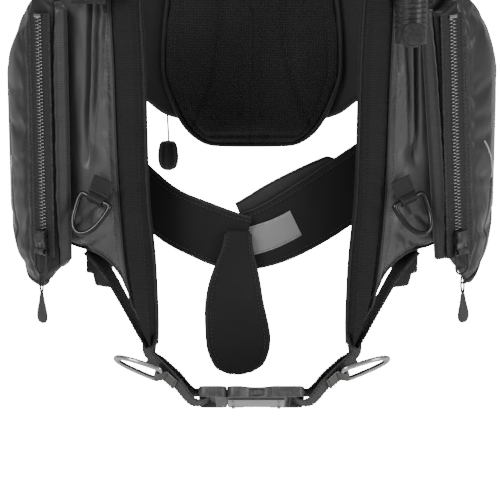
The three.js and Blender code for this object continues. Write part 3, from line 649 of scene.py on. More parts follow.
def finish(
    name, colour, deep_tone_and_shade, worn, roughness, pattern=None, pitch=0.001, bump=0.3, depth=0.0003, place="lay",
    **shader
):
    """A material from a base colour, a deeper one for random patches and for painted shade in the pattern's
    gaps, and a worn one for edges.
    """
    material = bpy.data.materials.new(name)
    material.use_nodes = True
    tree = material.node_tree
    tree.nodes.clear()
    output = put(tree, "ShaderNodeOutputMaterial")
    surface = put(tree, "ShaderNodeBsdfPrincipled")
    tree.links.new(surface.outputs[0], output.inputs[0])
    solid = put(tree, "ShaderNodeTexCoord").outputs["Object"]
    if place == "lay":
        where = put(tree, "ShaderNodeAttribute", attribute_name="lay").outputs["Vector"]
    else:
        where = solid
    tone = put(tree, "ShaderNodeGroup", node_tree=VARIATION)
    tree.links.new(solid, tone.inputs["Place"])
    wear = put(tree, "ShaderNodeGroup", node_tree=EDGE_WEAR)
    tree.links.new(solid, wear.inputs["Place"])
    shade = maths(tree, "MULTIPLY", tone.outputs["Tone"], 0.8)
    height = tone.outputs["Speck"]
    if pattern:
        fabric = put(tree, "ShaderNodeGroup", node_tree=pattern)
        tree.links.new(where, fabric.inputs["Lay"])
        fabric.inputs["Pitch"].default_value = pitch
        # painted shade: the pattern's gaps, troughs and holes pull the colour towards the deeper one
        hollow_shade = maths(tree, "MULTIPLY", fabric.outputs[1], 0.55)
        shade = maths(tree, "ADD", hollow_shade, maths(tree, "MULTIPLY", tone.outputs["Tone"], 0.5), clamp=True)
        height = maths(tree, "ADD", fabric.outputs[0], maths(tree, "MULTIPLY", tone.outputs["Speck"], 0.25))
    base = mixed(tree, shade, colour, deep_tone_and_shade)
    tree.links.new(mixed(tree, wear.outputs["Wear"], base, worn), surface.inputs["Base Color"])
    rough = maths(tree, "ADD", roughness - 0.06, maths(tree, "MULTIPLY", tone.outputs["Tone"], 0.12))
    rough = maths(tree, "ADD", rough, maths(tree, "MULTIPLY", wear.outputs["Wear"], 0.1), clamp=True)
    tree.links.new(rough, surface.inputs["Roughness"])
    relief = put(tree, "ShaderNodeBump", {"Strength": bump, "Distance": depth, "Height": height})
    tree.links.new(relief.outputs[0], surface.inputs["Normal"])
    for key, value in shader.items():
        surface.inputs[key.replace("_", " ")].default_value = value
    return material


SHEEN = {"Sheen_Weight": 0.25, "Sheen_Roughness": 0.4}
nylon = finish(
    "panel_nylon", srgb((84, 83, 82)), srgb((64, 63, 64)), srgb(108), 0.38, WEAVE, 0.0011, 0.25, **SHEEN,
)
pocket_nylon = finish(
    "pocket_nylon", srgb((44, 43, 44)), srgb((30, 29, 31)), srgb(84), 0.32, WEAVE, 0.0013, 0.3, **SHEEN,
)
strip_nylon = finish(
    "zip_edge_nylon", srgb((56, 54, 55)), srgb((34, 33, 34)), srgb(86), 0.5, RIBS, 0.0024, 0.4, **SHEEN,
)
dark_nylon = finish("dark_nylon", srgb(24), srgb(14), srgb(58), 0.6, WEAVE, 0.0012, 0.3)
trim_mesh = finish("trim_mesh", srgb(27), srgb(7), srgb(48), 0.9, RIBS, 0.0026, 0.8, 0.0006)
pad_mesh = finish("pad_mesh", srgb(33), srgb(9), srgb(52), 0.85, AIR_MESH, 0.0030, 0.9, 0.0007)
neoprene = finish("neoprene", srgb((23, 21, 22)), srgb(12), srgb(48), 0.86, WEAVE, 0.0016, 0.4)
loop_cloth = finish("loop_cloth", srgb(60), srgb(38), srgb(84), 0.95, AIR_MESH, 0.0014, 0.7, 0.0005)
binding = finish("binding_tape", srgb(22), srgb(16), srgb(64), 0.6, RIBS, 0.0015, 0.5)
piping = finish("piping", srgb(52), srgb(34), srgb(88), 0.5, RIBS, 0.0016, 0.3)
# painted highlight: near-white colour for the short glint along each pocket's outer seam
painted_highlight_piping = finish("painted_highlight_piping", srgb(196), srgb(150), srgb(226), 0.35, RIBS, 0.0012, 0.2)
webbing = finish("webbing", srgb(31), srgb(11), srgb(78), 0.62, RIBS, 0.0021, 0.85, 0.0006)
grey_tab = finish("grey_tab", srgb((122, 122, 118)), srgb(52), srgb(170), 0.75, WEAVE, 0.0026, 0.8, 0.0006)
thread = finish("thread", srgb(66), srgb(44), srgb(92), 0.6, None)
dark_thread = finish("dark_thread", srgb(46), srgb(32), srgb(70), 0.6, None)
plastic = finish("moulded_plastic", srgb(34), srgb(24), srgb(92), 0.36, None, bump=0.12, place="solid")
ring_plastic = finish("ring_plastic", srgb(26), srgb(16), srgb(110), 0.22, None, bump=0.08, place="solid")
satin_plastic = finish("satin_plastic", srgb(62), srgb(44), srgb(120), 0.42, None, bump=0.15, place="solid")
rubber = finish("rubber", srgb(33), srgb(22), srgb(66), 0.72, None, bump=0.25, place="solid")
tag_rubber = finish(
    "tag_rubber", srgb((58, 59, 57)), srgb(38), srgb(104), 0.5, None, bump=0.25, place="solid",
)
steel = finish(
    "polished_steel", srgb(196), srgb(150), srgb(226), 0.2, None, bump=0.06, place="solid", Metallic=1.0,
)
zip_metal = finish(
    "zip_metal", srgb(176), srgb(96), srgb(230), 0.24, None, bump=0.1, place="solid", Metallic=1.0,
)
dark_metal = finish(
    "slider_metal", srgb(70), srgb(44), srgb(150), 0.34, None, bump=0.1, place="solid", Metallic=0.8,
)
satin = finish(
    "satin_plate", srgb(178), srgb(150), srgb(220), 0.32, None, bump=0.08, place="solid", Metallic=0.85,
)
patch_cloth = finish("patch_cloth", srgb(150), srgb(112), srgb(176), 0.6, WEAVE, 0.0014, 0.3)
floor_paint = finish("floor", srgb(244), srgb(240), srgb(244), 0.9, None, bump=0.02, place="solid")
floor_tree = floor_paint.node_tree
floor_shader = next(node for node in floor_tree.nodes if node.type == "BSDF_PRINCIPLED")
floor_shader.inputs["Emission Color"].default_value = (1, 1, 1, 1)
floor_sight = put(floor_tree, "ShaderNodeLightPath").outputs["Is Camera Ray"]
floor_tree.links.new(
    maths(floor_tree, "MULTIPLY", floor_sight, BACKDROP_SEEN), floor_shader.inputs["Emission Strength"],
)

# ---------- repeated details, made by geometry nodes ----------


def geometry_tree(name, inputs):
    tree = bpy.data.node_groups.new(name, "GeometryNodeTree")
    tree.interface.new_socket("Geometry", in_out="INPUT", socket_type="NodeSocketGeometry")
    for label, kind, value in inputs:
        socket = tree.interface.new_socket(label, in_out="INPUT", socket_type=kind)
        if value is not None:
            socket.default_value = value
    tree.interface.new_socket("Geometry", in_out="OUTPUT", socket_type="NodeSocketGeometry")
    return tree, tree.nodes.new("NodeGroupInput"), tree.nodes.new("NodeGroupOutput")


def close_tree(tree, given, result, instances, smooth=True):
    """Realizes the instances, sets their material and puts them out."""
    real = put(tree, "GeometryNodeRealizeInstances", {0: instances}).outputs[0]
    shaded = put(tree, "GeometryNodeSetShadeSmooth", {"Geometry": real, "Shade Smooth": smooth}).outputs[0]
    painted = put(
        tree, "GeometryNodeSetMaterial", {"Geometry": shaded, "Material": given.outputs["Finish"]},
    ).outputs[0]
    tree.links.new(painted, result.inputs[0])
    return tree


def along_line(tree, given):
    """Points a pitch apart along the given lines, with the turn that faces each along its line."""
    line = put(tree, "GeometryNodeMeshToCurve", {0: given.outputs["Geometry"]}).outputs[0]
    spaced = put(
        tree, "GeometryNodeResampleCurve", {"Curve": line, "Length": given.outputs["Pitch"]},
        mode="LENGTH",
    )
    way = put(tree, "GeometryNodeInputTangent").outputs[0]
    turned = put(tree, "FunctionNodeAlignRotationToVector", {"Vector": way}, axis="X").outputs[0]
    return spaced.outputs[0], turned


def build_stitches():
    """Rounded stitches in rows along a seam."""
    sizes = [
        ("Pitch", FLOAT, 0.004), ("Length", FLOAT, 0.003), ("Thickness", FLOAT, 0.0007),
        ("Finish", "NodeSocketMaterial", None),
    ]
    tree, given, result = geometry_tree("stitches", sizes)
    spaced, turned = along_line(tree, given)
    bead = put(tree, "GeometryNodeMeshUVSphere", {"Segments": 6, "Rings": 4, "Radius": 0.5}).outputs[0]
    size = put(
        tree, "ShaderNodeCombineXYZ",
        {0: given.outputs["Length"], 1: given.outputs["Thickness"], 2: given.outputs["Thickness"]},
    )
    stitch = put(tree, "GeometryNodeTransform", {"Geometry": bead, "Scale": size.outputs[0]}).outputs[0]
    row = put(
        tree, "GeometryNodeInstanceOnPoints", {"Points": spaced, "Instance": stitch, "Rotation": turned},
    )
    return close_tree(tree, given, result, row.outputs[0])


def build_rings():
    """Hoops round a line, such as the corrugations of a hose."""
    sizes = [
        ("Pitch", FLOAT, 0.006), ("Radius", FLOAT, 0.015), ("Thickness", FLOAT, 0.0022),
        ("Finish", "NodeSocketMaterial", None),
    ]
    tree, given, result = geometry_tree("hoops", sizes)
    line = put(tree, "GeometryNodeMeshToCurve", {0: given.outputs["Geometry"]}).outputs[0]
    spaced = put(
        tree, "GeometryNodeResampleCurve", {"Curve": line, "Length": given.outputs["Pitch"]},
        mode="LENGTH",
    )
    way = put(tree, "GeometryNodeInputTangent").outputs[0]
    turned = put(tree, "FunctionNodeAlignRotationToVector", {"Vector": way}, axis="Z").outputs[0]
    circle = put(
        tree, "GeometryNodeCurvePrimitiveCircle", {"Resolution": 28, "Radius": given.outputs["Radius"]},
    ).outputs[0]
    section = put(
        tree, "GeometryNodeCurvePrimitiveCircle", {"Resolution": 7, "Radius": given.outputs["Thickness"]},
    ).outputs[0]
    hoop = put(tree, "GeometryNodeCurveToMesh", {"Curve": circle, "Profile Curve": section}).outputs[0]
    row = put(
        tree, "GeometryNodeInstanceOnPoints",
        {"Points": spaced.outputs[0], "Instance": hoop, "Rotation": turned},
    )
    return close_tree(tree, given, result, row.outputs[0])


def build_blocks():
    """Small rounded blocks at each given point, turned to the point's own direction, such as zip teeth."""
    sizes = [("Size", VECTOR, (0.002, 0.003, 0.0015)), ("Finish", "NodeSocketMaterial", None)]
    tree, given, result = geometry_tree("blocks", sizes)
    cube = put(
        tree, "GeometryNodeMeshCube",
        {"Size": (1, 1, 1), "Vertices X": 2, "Vertices Y": 2, "Vertices Z": 2},
    ).outputs[0]
    softened = put(
        tree, "GeometryNodeSubdivisionSurface", {"Mesh": cube, "Level": 1, "Edge Crease": 0.62},
    ).outputs[0]
    block = put(
        tree, "GeometryNodeTransform", {"Geometry": softened, "Scale": given.outputs["Size"]},
    ).outputs[0]
    along = put(
        tree, "GeometryNodeInputNamedAttribute", {"Name": "way"}, data_type="FLOAT_VECTOR",
    ).outputs[0]
    up = put(tree, "GeometryNodeInputNamedAttribute", {"Name": "up"}, data_type="FLOAT_VECTOR").outputs[0]
    first = put(tree, "FunctionNodeAlignRotationToVector", {"Vector": up}, axis="Z").outputs[0]
    turned = put(
        tree, "FunctionNodeAlignRotationToVector", {"Rotation": first, "Vector": along}, axis="X",
        pivot_axis="Z",
    ).outputs[0]
    points = put(tree, "GeometryNodeMeshToPoints", {"Mesh": given.outputs["Geometry"]}).outputs[0]
    row = put(
        tree, "GeometryNodeInstanceOnPoints", {"Points": points, "Instance": block, "Rotation": turned},
    )
    return close_tree(tree, given, result, row.outputs[0])


STITCHES, HOOPS, BLOCKS = build_stitches(), build_rings(), build_blocks()


def grown(name, tree, lines, ways=None, ups=None, **sizes):
    """Runs a geometry tree over lines or points in millimetres and returns a plain mesh."""
    points = np.vstack(lines)
    edges, base = [], 0
    for line in lines:
        edges += [(base + k, base + k + 1) for k in range(len(line) - 1)]
        base += len(line)
    mesh = bpy.data.meshes.new(name)
    mesh.from_pydata((points * MM).tolist(), [] if ways is not None else edges, [])
    if ways is not None:
        for label, values in (("way", ways), ("up", ups)):
            layer = mesh.attributes.new(label, "FLOAT_VECTOR", "POINT")
            layer.data.foreach_set("vector", np.asarray(values, np.float32).ravel())
    obj = bpy.data.objects.new(name, mesh)
    scene.collection.objects.link(obj)
    modifier = obj.modifiers.new("repeat", "NODES")
    modifier.node_group = tree
    for item in tree.interface.items_tree:
        if item.in_out == "INPUT" and item.name in sizes:
            modifier[item.identifier] = sizes[item.name]
    return plain(obj)


def stitches(name, lines, finish_with, pitch=4.0, length=2.8, thick=0.8):
    """Rows of stitches along polylines."""
    return grown(
        name, STITCHES, lines, Pitch=pitch * MM, Length=length * MM, Thickness=thick * MM,
        Finish=finish_with,
    )


# ---------- padded cloth ----------


def swell(obj, hold, voxel=5.5, pressure=4.0, cap=6.0, slack=0.02):
    """Fills a pad out as cloth under pressure. hold(points) is how firmly points are sewn down, 0 to 1."""
    material = obj.data.materials[0]
    if voxel:
        squares = obj.modifiers.new("squares", "REMESH")
        squares.mode = "VOXEL"
        squares.voxel_size = voxel * MM
        plain(obj)
    start = np.zeros(len(obj.data.vertices) * 3)
    obj.data.vertices.foreach_get("co", start)
    start = start.reshape(-1, 3)
    moved = start
    sewn = obj.vertex_groups.new(name="sewn")
    for i, weight in enumerate(hold(start / MM)):
        if weight > 0.02:
            sewn.add([i], float(min(weight, 1.0)), "REPLACE")
    cloth = obj.modifiers.new("cloth", "CLOTH")
    cloth.settings.quality = 5
    cloth.settings.mass = 0.2
    cloth.settings.tension_stiffness = 20
    cloth.settings.compression_stiffness = 8
    cloth.settings.bending_stiffness = 0.15
    cloth.settings.use_pressure = True
    cloth.settings.uniform_pressure_force = pressure
    cloth.settings.shrink_min = -slack
    cloth.settings.vertex_group_mass = "sewn"
    cloth.settings.effector_weights.gravity = 0
    cloth.collision_settings.use_self_collision = False
    cloth.point_cache.frame_start = 1
    cloth.point_cache.frame_end = 20
    for step in range(1, 21):
        scene.frame_set(step)
    deps = bpy.context.evaluated_depsgraph_get()
    puffed = obj.evaluated_get(deps).to_mesh()
    flat = np.zeros(len(puffed.vertices) * 3)
    puffed.vertices.foreach_get("co", flat)
    obj.evaluated_get(deps).to_mesh_clear()
    shift = flat.reshape(-1, 3) - start
    far = np.linalg.norm(shift, axis=1, keepdims=True)
    moved = start + shift * np.minimum(1, cap * MM / np.maximum(far, 1e-9))
    obj.modifiers.clear()
    obj.vertex_groups.clear()
    scene.frame_set(1)
    obj.data.vertices.foreach_set("co", moved.ravel())
    smooth = obj.modifiers.new("finer", "SUBSURF")
    smooth.levels = 1
    smooth.render_levels = 1
    plain(obj)
    obj.data.polygons.foreach_set("use_smooth", [True] * len(obj.data.polygons))
    obj.data.materials.clear()
    obj.data.materials.append(material)
    return obj


def points_of(obj):
    flat = np.zeros(len(obj.data.vertices) * 3)
    obj.data.vertices.foreach_get("co", flat)
    return flat.reshape(-1, 3) / MM


def set_points(obj, points):
    obj.data.vertices.foreach_set("co", (points * MM).ravel())
    obj.data.update()


def sculpt(obj, change, ceiling=None):
    """Moves each point along the wall's own outward direction by change(angle, z, offset), in millimetres."""
    points = points_of(obj)
    angle, z, offset = wall_place(points)
    outer = change(angle, z, offset)
    points = points + wall_out(angle) * outer[:, None]
    if ceiling is not None:
        angle, z, offset = wall_place(points)
        over = np.maximum(offset - ceiling(angle, z), 0)
        points = points - wall_out(angle) * over[:, None]
    set_points(obj, points)
    angle, z, offset = wall_place(points)
    write_lay(obj, np.stack([z, arc_length(angle), offset], 1))
    write_edge(obj, np.zeros(len(points)))
    return obj


def ripple(angle, z, size, seed):
    """A smooth random field over the wall, about -1 to 1."""
    arc = arc_length(angle) / size
    return np.array([noise.noise(Vector((a, h, seed))) for a, h in zip(arc.tolist(), (z / size).tolist())])


def stretched_ripple(angle, z, across, up, seed):
    """The same, with its own size round the wearer and up."""
    arc = arc_length(angle) / across
    return np.array([noise.noise(Vector((a, h, seed))) for a, h in zip(arc.tolist(), (z / up).tolist())])


def surface_tree(obj):
    return BVHTree.FromPolygons(
        [v.co[:] for v in obj.data.vertices], [p.vertices[:] for p in obj.data.polygons],
    )


def laid_on(tree, angle, z, lift=0.2, fall=20.0):
    """Points on a finished pad at angles and heights, found from outside it."""
    angle, z = np.broadcast_arrays(np.asarray(angle, float), z)
    high = 90.0
    start = wall(angle, z, high)
    ways = wall_out(angle)
    reach = [tree.ray_cast(Vector(at * MM), Vector(-way), 0.2)[3] for at, way in zip(start, ways)]
    met = [k for k, far in enumerate(reach) if far is not None]
    if not met:
        return wall(angle, z, fall)
    height = np.interp(np.arange(len(reach)), met, [high - reach[k] / MM for k in met])
    return wall(angle, z, height + lift)


def panel(name, low_angle, high_angle, low, high, inside, thick, material, steps=(40, 60), rim=5.0):
    """A padded panel on the wall with rounded rims. Its edges are functions of height or of angle."""
    uvw, quads = box_surface(steps[0], steps[1], 6)
    u, v, w = uvw.T
    bulge = np.sqrt(np.maximum(1 - (2 * w - 1) ** 2, 0))
    inset = rim * (1 - bulge)
    rough = lerp(low_angle(0 * u), high_angle(0 * u), u)
    z = lerp(low(rough) + inset, high(rough) - inset, v)
    turn = inset / PER_DEGREE * np.sign(high_angle(z) - low_angle(z))
    angle = lerp(low_angle(z) + turn, high_angle(z) - turn, u)
    offset = lerp(inside(u, v) if callable(inside) else inside, thick(u, v), w)
    return finished_mesh(name, wall(angle, z, offset), quads, material)


def pillow(full, edge_share, rim):
    """The height of a padded piece over (u, v), lower towards its edges."""

    def rise(t):
        return np.sin(math.pi / 2 * np.minimum(np.minimum(t, 1 - t) / rim, 1))

    return lambda u, v: full * lerp(edge_share, 1, np.minimum(rise(u), rise(v)))


def groove(distance, depth, width):
    return -depth * np.exp(-((distance / width) ** 2))


lobe_front = profile((-300, 24), (-250, 26.7), (-188, 29.6), (-127, 32.3), (-77, 34), (-17, 35), (130, 37))
seam_shift = profile(
    (-300, -0.6), (-280, 1.6), (-250, 3.0), (-188, 2.8), (-127, 1.6), (-77, 0.5), (-17, 0), (130, 0),
)
trim_inner = profile((-300, 22), (-250, 23), (-208, 23.6), (-147, 25), (0, 25.4), (130, 28))
lobe_bottom = profile(
    (34, -292), (37, -262), (41, -230), (48, -212), (58, -206), (75, -200), (90, -188), (100, -168),
)
lobe_top = profile((34, 92), (45, 118), (58, 98), (72, 48), (86, 24), (100, 30))
pocket_bottom = profile((50, -214), (58, -232), (66, -246), (78, -236), (90, -206), (97, -186))
pocket_top = profile((50, 44), (60, 58), (75, 34), (84, 12), (97, 10))
SIDES = (("right", -1, 57.0, 57.0, 3.1), ("left", 1, 50.0, 58.0, 8.7))
ZIP_LOW, ZIP_HIGH, ZIP_WIDTH, ZIP_THICK = -206.0, 38.0, 30.0, 2.0
POCKET_INSIDE = SKIN + LOBE_THICK + 3 * GAP
LOBE_END = 100
SIDE_SEAM = 100.4


def zip_angle(side, z):
    _, sign, top, bottom, _ = side
    return bottom + (top - bottom) * (np.minimum(z, ZIP_HIGH) - ZIP_LOW) / (ZIP_HIGH - ZIP_LOW)


def lobe_seam(z):
    """The angle of the seam where a lobe's cloth meets its padded mesh edge."""
    return lobe_front(z) + seam_shift(np.clip(z, -300, 130))


def lobe_rough(a, z):
    """The angle that a lobe's point has at the origin's height, which its upper and lower edges go by."""
    return lerp(lobe_front(0), LOBE_END, (a - lobe_front(z)) / (LOBE_END - lobe_front(z)))


def lobe_rim(rough, z):
    """The true angle of a point on a lobe's upper or lower edge."""
    return lerp(lobe_front(z), 100, (rough - lobe_front(0)) / (100 - lobe_front(0)))


# ---------- front lobes ----------
lobes = {}
for side in SIDES:
    name, sign, _, _, seed = side
    crown = pillow(LOBE_THICK - 4, 0.42, 0.16)
    lobe = panel(
        f"{name}_front_lobe",
        lambda z: sign * (lobe_front(z) - 0.6),
        lambda z: sign * SIDE_SEAM + 0 * z,
        lambda a: lobe_bottom(np.abs(a)) + 2,
        lambda a: lobe_top(np.abs(a)) - 2,
        SKIN + 0.3,
        lambda u, v: SKIN + crown(u, v),
        nylon,
        (84, 96),
        rim=2.4,
    )
    angle, z, offset = wall_place(points_of(lobe))
    inward = np.clip((SIDE_SEAM - np.abs(angle)) / (SIDE_SEAM - lobe_front(z)), 0, 1)
    set_points(lobe, wall(angle + sign * seam_shift(z) * inward**20, z, offset))

    def sewn_down(points):
        angle, z, offset = wall_place(points)
        a = np.abs(angle)
        rough = lobe_rough(a, z)
        across = np.minimum(a - lobe_seam(z), SIDE_SEAM - a) * PER_DEGREE
        rim = np.minimum(across, np.minimum(z - lobe_bottom(rough), lobe_top(rough) - z))
        return np.clip(1 - rim / 9, 0, 1) + (offset < SKIN + 4)

    swell(lobe, sewn_down, None, cap=4.5, slack=0.03)

    def creases(angle, z, offset):
        a = np.abs(angle)
        rough = lobe_rough(a, z)
        front = np.clip((offset - 8) / 8, 0, 1)
        upper = np.clip((z + 118) / 60, 0, 1)
        low = np.clip((z + 100) / 150, 0, 1)
        fold = groove((a - lerp(46.0, 44.0, low)) * PER_DEGREE, 10.0, 3.0) * upper
        second = groove((a - lerp(43.4, 41.2, low)) * PER_DEGREE, 7.0, 2.4) * np.clip((z + 96) / 50, 0, 1)
        third = groove((a - lerp(40.2, 38.4, low)) * PER_DEGREE, 4.2, 2.8) * np.clip((z + 60) / 60, 0, 1)
        ridge = -groove((a - lerp(44.8, 42.6, low)) * PER_DEGREE, 2.6, 1.8) * upper
        notch = groove(np.hypot((a - 44.8) * PER_DEGREE, (z + 104) * 0.7), 6.0, 9.0)
        slant = (a - 36) * PER_DEGREE * 0.55 + (z + 178)
        drag = groove(slant, 3.0, 4.0) * np.clip((a - 36) / 4, 0, 1)
        drag = drag + groove((a - 34) * PER_DEGREE * 0.8 + (z + 136), 2.4, 3.6) * np.clip((a - 34) / 5, 0, 1)
        broad = 2.6 * stretched_ripple(angle, z, 22, 95, seed)
        slow = broad + 1.4 * stretched_ripple(angle, z, 11, 38, seed + 5)
        near_hem = np.exp(-(((z - lobe_bottom(rough)) / 26) ** 2))
        gather = 1.2 * stretched_ripple(angle, z, 6, 30, seed + 9) * near_hem
        hem = groove(z - lobe_bottom(rough) - 6, 1.6, 2.4)
        seam = hem + groove((a - lobe_seam(z)) * PER_DEGREE - 6, 1.4, 2.2)
        folds = fold + second + third + ridge + notch + drag
        return front * (folds + slow + gather + seam)

    def under_pocket(angle, z):
        a = np.abs(angle)
        covered = (a > zip_angle(side, z) - 9.5) & (z < pocket_top(a) + 6)
        return np.where(covered, SKIN + LOBE_THICK - 1.2, SKIN + LOBE_THICK + 2.5)

    sculpt(lobe, creases, under_pocket)
    lobes[name] = settle(lobe, "vest", "nylon", f"lobe_{name}")
    tree = surface_tree(lobe)

    # piping along the lobe's front and lower seams, with a row of stitches beside each
    z = np.linspace(-262, 84, 100)
    front_line = laid_on(tree, sign * (lobe_seam(z) + 0.9), z, 0.1)
    rough = np.linspace(37.6, 97, 90)
    bottom_z = lobe_bottom(rough) + 4.4
    bottom_line = laid_on(tree, sign * lobe_rim(rough, bottom_z), bottom_z, 0.1)
    for label, line in (("front", front_line), ("lower", bottom_line)):
        settle(tube(f"{name}_{label}_piping", line, 1.5, piping, 8), "vest", "nylon")
    z = np.linspace(-246, 84, 90)
    rows = [
        laid_on(tree, sign * (lobe_seam(z) + 2.8), z, 0.1),
        laid_on(tree, sign * lobe_rim(rough, bottom_z + 6), bottom_z + 6, 0.1),
    ]
    settle(stitches(f"{name}_lobe_stitches", rows, dark_thread, 4.2, 2.9, 0.7), "vest", "nylon")

# ---------- padded mesh edges ----------
for name, sign, _, _, seed in SIDES:
    crown = pillow(TRIM_THICK, 0.5, 0.3)
    pad = panel(
        f"{name}_edge_pad",
        lambda z: sign * (trim_inner(z) - 0.3 * seam_shift(z)),
        lambda z: sign * (lobe_seam(z) + 1.0),
        lambda a: -297.5 + 0 * a,
        lambda a: 89.5 + 0 * a,
        0.2,
        lambda u, v: crown(u, 0.5 + 0 * v),
        trim_mesh,
        (22, 150),
        rim=2.0,
    )

    def mesh_folds(angle, z, offset):
        soft = 1.1 * stretched_ripple(angle, z, 30, 40, seed + 2)
        return np.clip(offset / 10, 0, 1) * (soft + 0.35 * np.sin(z / 3.1))

    sculpt(pad, mesh_folds)
    settle(pad, "vest", "air_mesh", f"edge_pad_{name}")
    tree = surface_tree(pad)
    z = np.linspace(-294, 86, 120)
    inner_line = laid_on(tree, sign * (trim_inner(z) - 0.3 * seam_shift(z) + 0.6), z, 0.0, 6.0)
    settle(tube(f"{name}_edge_binding", inner_line, 1.7, binding, 8), "vest", "air_mesh")
    settle(
        stitches(
            f"{name}_edge_stitches", [laid_on(tree, sign * (trim_inner(z) + 1.5), z, 0.1)], dark_thread,
            3.6, 2.5, 0.6,
        ),
        "vest", "air_mesh",
    )

# ---------- zipped pockets ----------


def zip_line(side):
    """The two ends of a zip's tape and its way out, in millimetres."""
    _, sign, top, bottom, _ = side
    low = wall([sign * bottom], ZIP_LOW, 0.0)[0]
    high = wall([sign * top], ZIP_HIGH, 0.0)[0]
    out = wall_out(np.array([sign * (top + bottom) / 2]))[0]
    reach = POCKET_INSIDE + 20 + 3 * GAP
    return low + out * reach, high + out * reach, out


TAG_FLATNESS = 0.4
for side in SIDES:
    name, sign, _, _, seed = side
    panel_rise = pillow(19.5, 0.5, 0.16)
    pocket = panel(
        f"{name}_pocket_panel",
        lambda z: sign * (zip_angle(side, z) + 4.6),
        lambda z: sign * 96.6 + 0 * z,
        lambda a: pocket_bottom(np.abs(a)) + 1,
        lambda a: pocket_top(np.abs(a)) - 1,
        POCKET_INSIDE,
        lambda u, v: POCKET_INSIDE + panel_rise(u, v),
        pocket_nylon,
        (40, 70),
        rim=6.0,
    )

    def pocket_sewn(points):
        angle, z, offset = wall_place(points)
        a = np.abs(angle)
        rim = np.minimum(
            np.minimum(a - zip_angle(side, z) - 4.6, 96.6 - a) * 3.2,
            np.minimum(z - pocket_bottom(a), pocket_top(a) - z),
        )
        return np.clip(1 - rim / 8, 0, 1) + (offset < POCKET_INSIDE + 4)

    swell(pocket, pocket_sewn, None, cap=4.0, slack=0.02)

    def pocket_folds(angle, z, offset):
        a = np.abs(angle)
        front = np.clip((offset - POCKET_INSIDE - 6) / 8, 0, 1)
        front_seam = groove((a - zip_angle(side, z) - 7.4) * 3.2, 1.4, 2.2)
        seam = front_seam + groove((a - 80) * 3.0 - 0.12 * z, 1.3, 2.0)
        bottom = groove(z - pocket_bottom(a) - 9, 1.4, 2.4)
        broad = 1.5 * stretched_ripple(angle, z, 30, 120, seed + 20)
        slow = broad + 0.7 * stretched_ripple(angle, z, 14, 40, seed + 25)
        return front * (seam + bottom + slow)

    sculpt(pocket, pocket_folds, lambda a, z: POCKET_INSIDE + 23 + 0 * a)
    settle(pocket, "vest", "pocket_nylon", f"zip_pocket_{name}")

    # the narrow padded strip between the front panel and the zip
    strip_rise = pillow(19.0, 0.72, 0.3)
    strip = panel(
        f"{name}_zip_strip",
        lambda z: sign * (zip_angle(side, z) - 7.0),
        lambda z: sign * (zip_angle(side, z) - 3.4),
        lambda a: pocket_bottom(np.abs(a)) + 4,
        lambda a: pocket_top(np.abs(a)) - 2,
        POCKET_INSIDE - 0.2,
        lambda u, v: POCKET_INSIDE + strip_rise(u, v),
        strip_nylon,
        (12, 110),
        rim=4.0,
    )

    def strip_folds(angle, z, offset):
        soft = 1.1 * ripple(angle, z, 22, seed + 30)
        return np.clip((offset - POCKET_INSIDE - 8) / 8, 0, 1) * (soft + 0.3 * np.sin(z / 2.6))

    sculpt(strip, strip_folds)
    settle(strip, "vest", "pocket_nylon")
    floor_strip = panel(
        f"{name}_zip_bed",
        lambda z: sign * (zip_angle(side, z) - 4.4),
        lambda z: sign * (zip_angle(side, z) + 5.6),
        lambda a: pocket_bottom(np.abs(a)) + 5,
        lambda a: pocket_top(np.abs(a)) - 4,
        POCKET_INSIDE,
        lambda u, v: POCKET_INSIDE + 17.5 + 0 * u,
        dark_nylon,
        (8, 60),
        rim=3.0,
    )
    sculpt(floor_strip, lambda a, z, offset: 0 * a)
    settle(floor_strip, "vest", "pocket_nylon")

    # zip tape, teeth, end stop and the welt stitched along each side
    low, high, out = zip_line(side)
    along = unit(high - low)
    length = np.linalg.norm(high - low)
    tape_at = Frame(low, along, np.cross(out, along))
    line = Path([tape_at.put((x, 0, 0)) for x in (0, length / 3, 2 * length / 3, length)])
    tape = ribbon(
        f"{name}_zip_tape", line, webbing, ZIP_WIDTH, lambda t: tape_at.axes[1], ZIP_THICK, 120,
        width_steps=12,
    )
    settle(tape, "vest", "webbing", f"zip_tape_{name}")
    pitch = 3.4
    spots, ways, ups = [], [], []
    for k, x in enumerate(np.arange(6, length - 5, pitch / 2)):
        spots.append(tape_at.put((x, (1 if k % 2 else -1) * 1.9, 1.35)))
        ways.append(tape_at.axes[1])
        ups.append(tape_at.axes[2])
    teeth = grown(
        f"{name}_zip_teeth", BLOCKS, [np.array(spots)], ways, ups, Size=(0.0056, 0.0014, 0.0017),
        Finish=zip_metal,
    )
    settle(teeth, "vest", "zip_metal")
    welts = [[tape_at.put((x, y, 1.2)) for x in np.linspace(2, length - 2, 80)] for y in (-11.5, 11.5)]
    settle(
        stitches(f"{name}_tape_stitches", [np.array(w) for w in welts], dark_thread, 3.4, 2.3, 0.7),
        "vest", "webbing",
    )
    for label, x in (("lower", 2.6), ("upper", length - 2.8)):
        stop = Path([tape_at.put((x, y, 1.9)) for y in (-5.0, -1.6, 1.6, 5.0)])
        settle(
            ribbon(
                f"{name}_{label}_zip_stop", stop, zip_metal, 3.2, lambda t: tape_at.axes[0], 1.6, 8,
                width_steps=4,
            ),
            "vest", "zip_metal",
        )
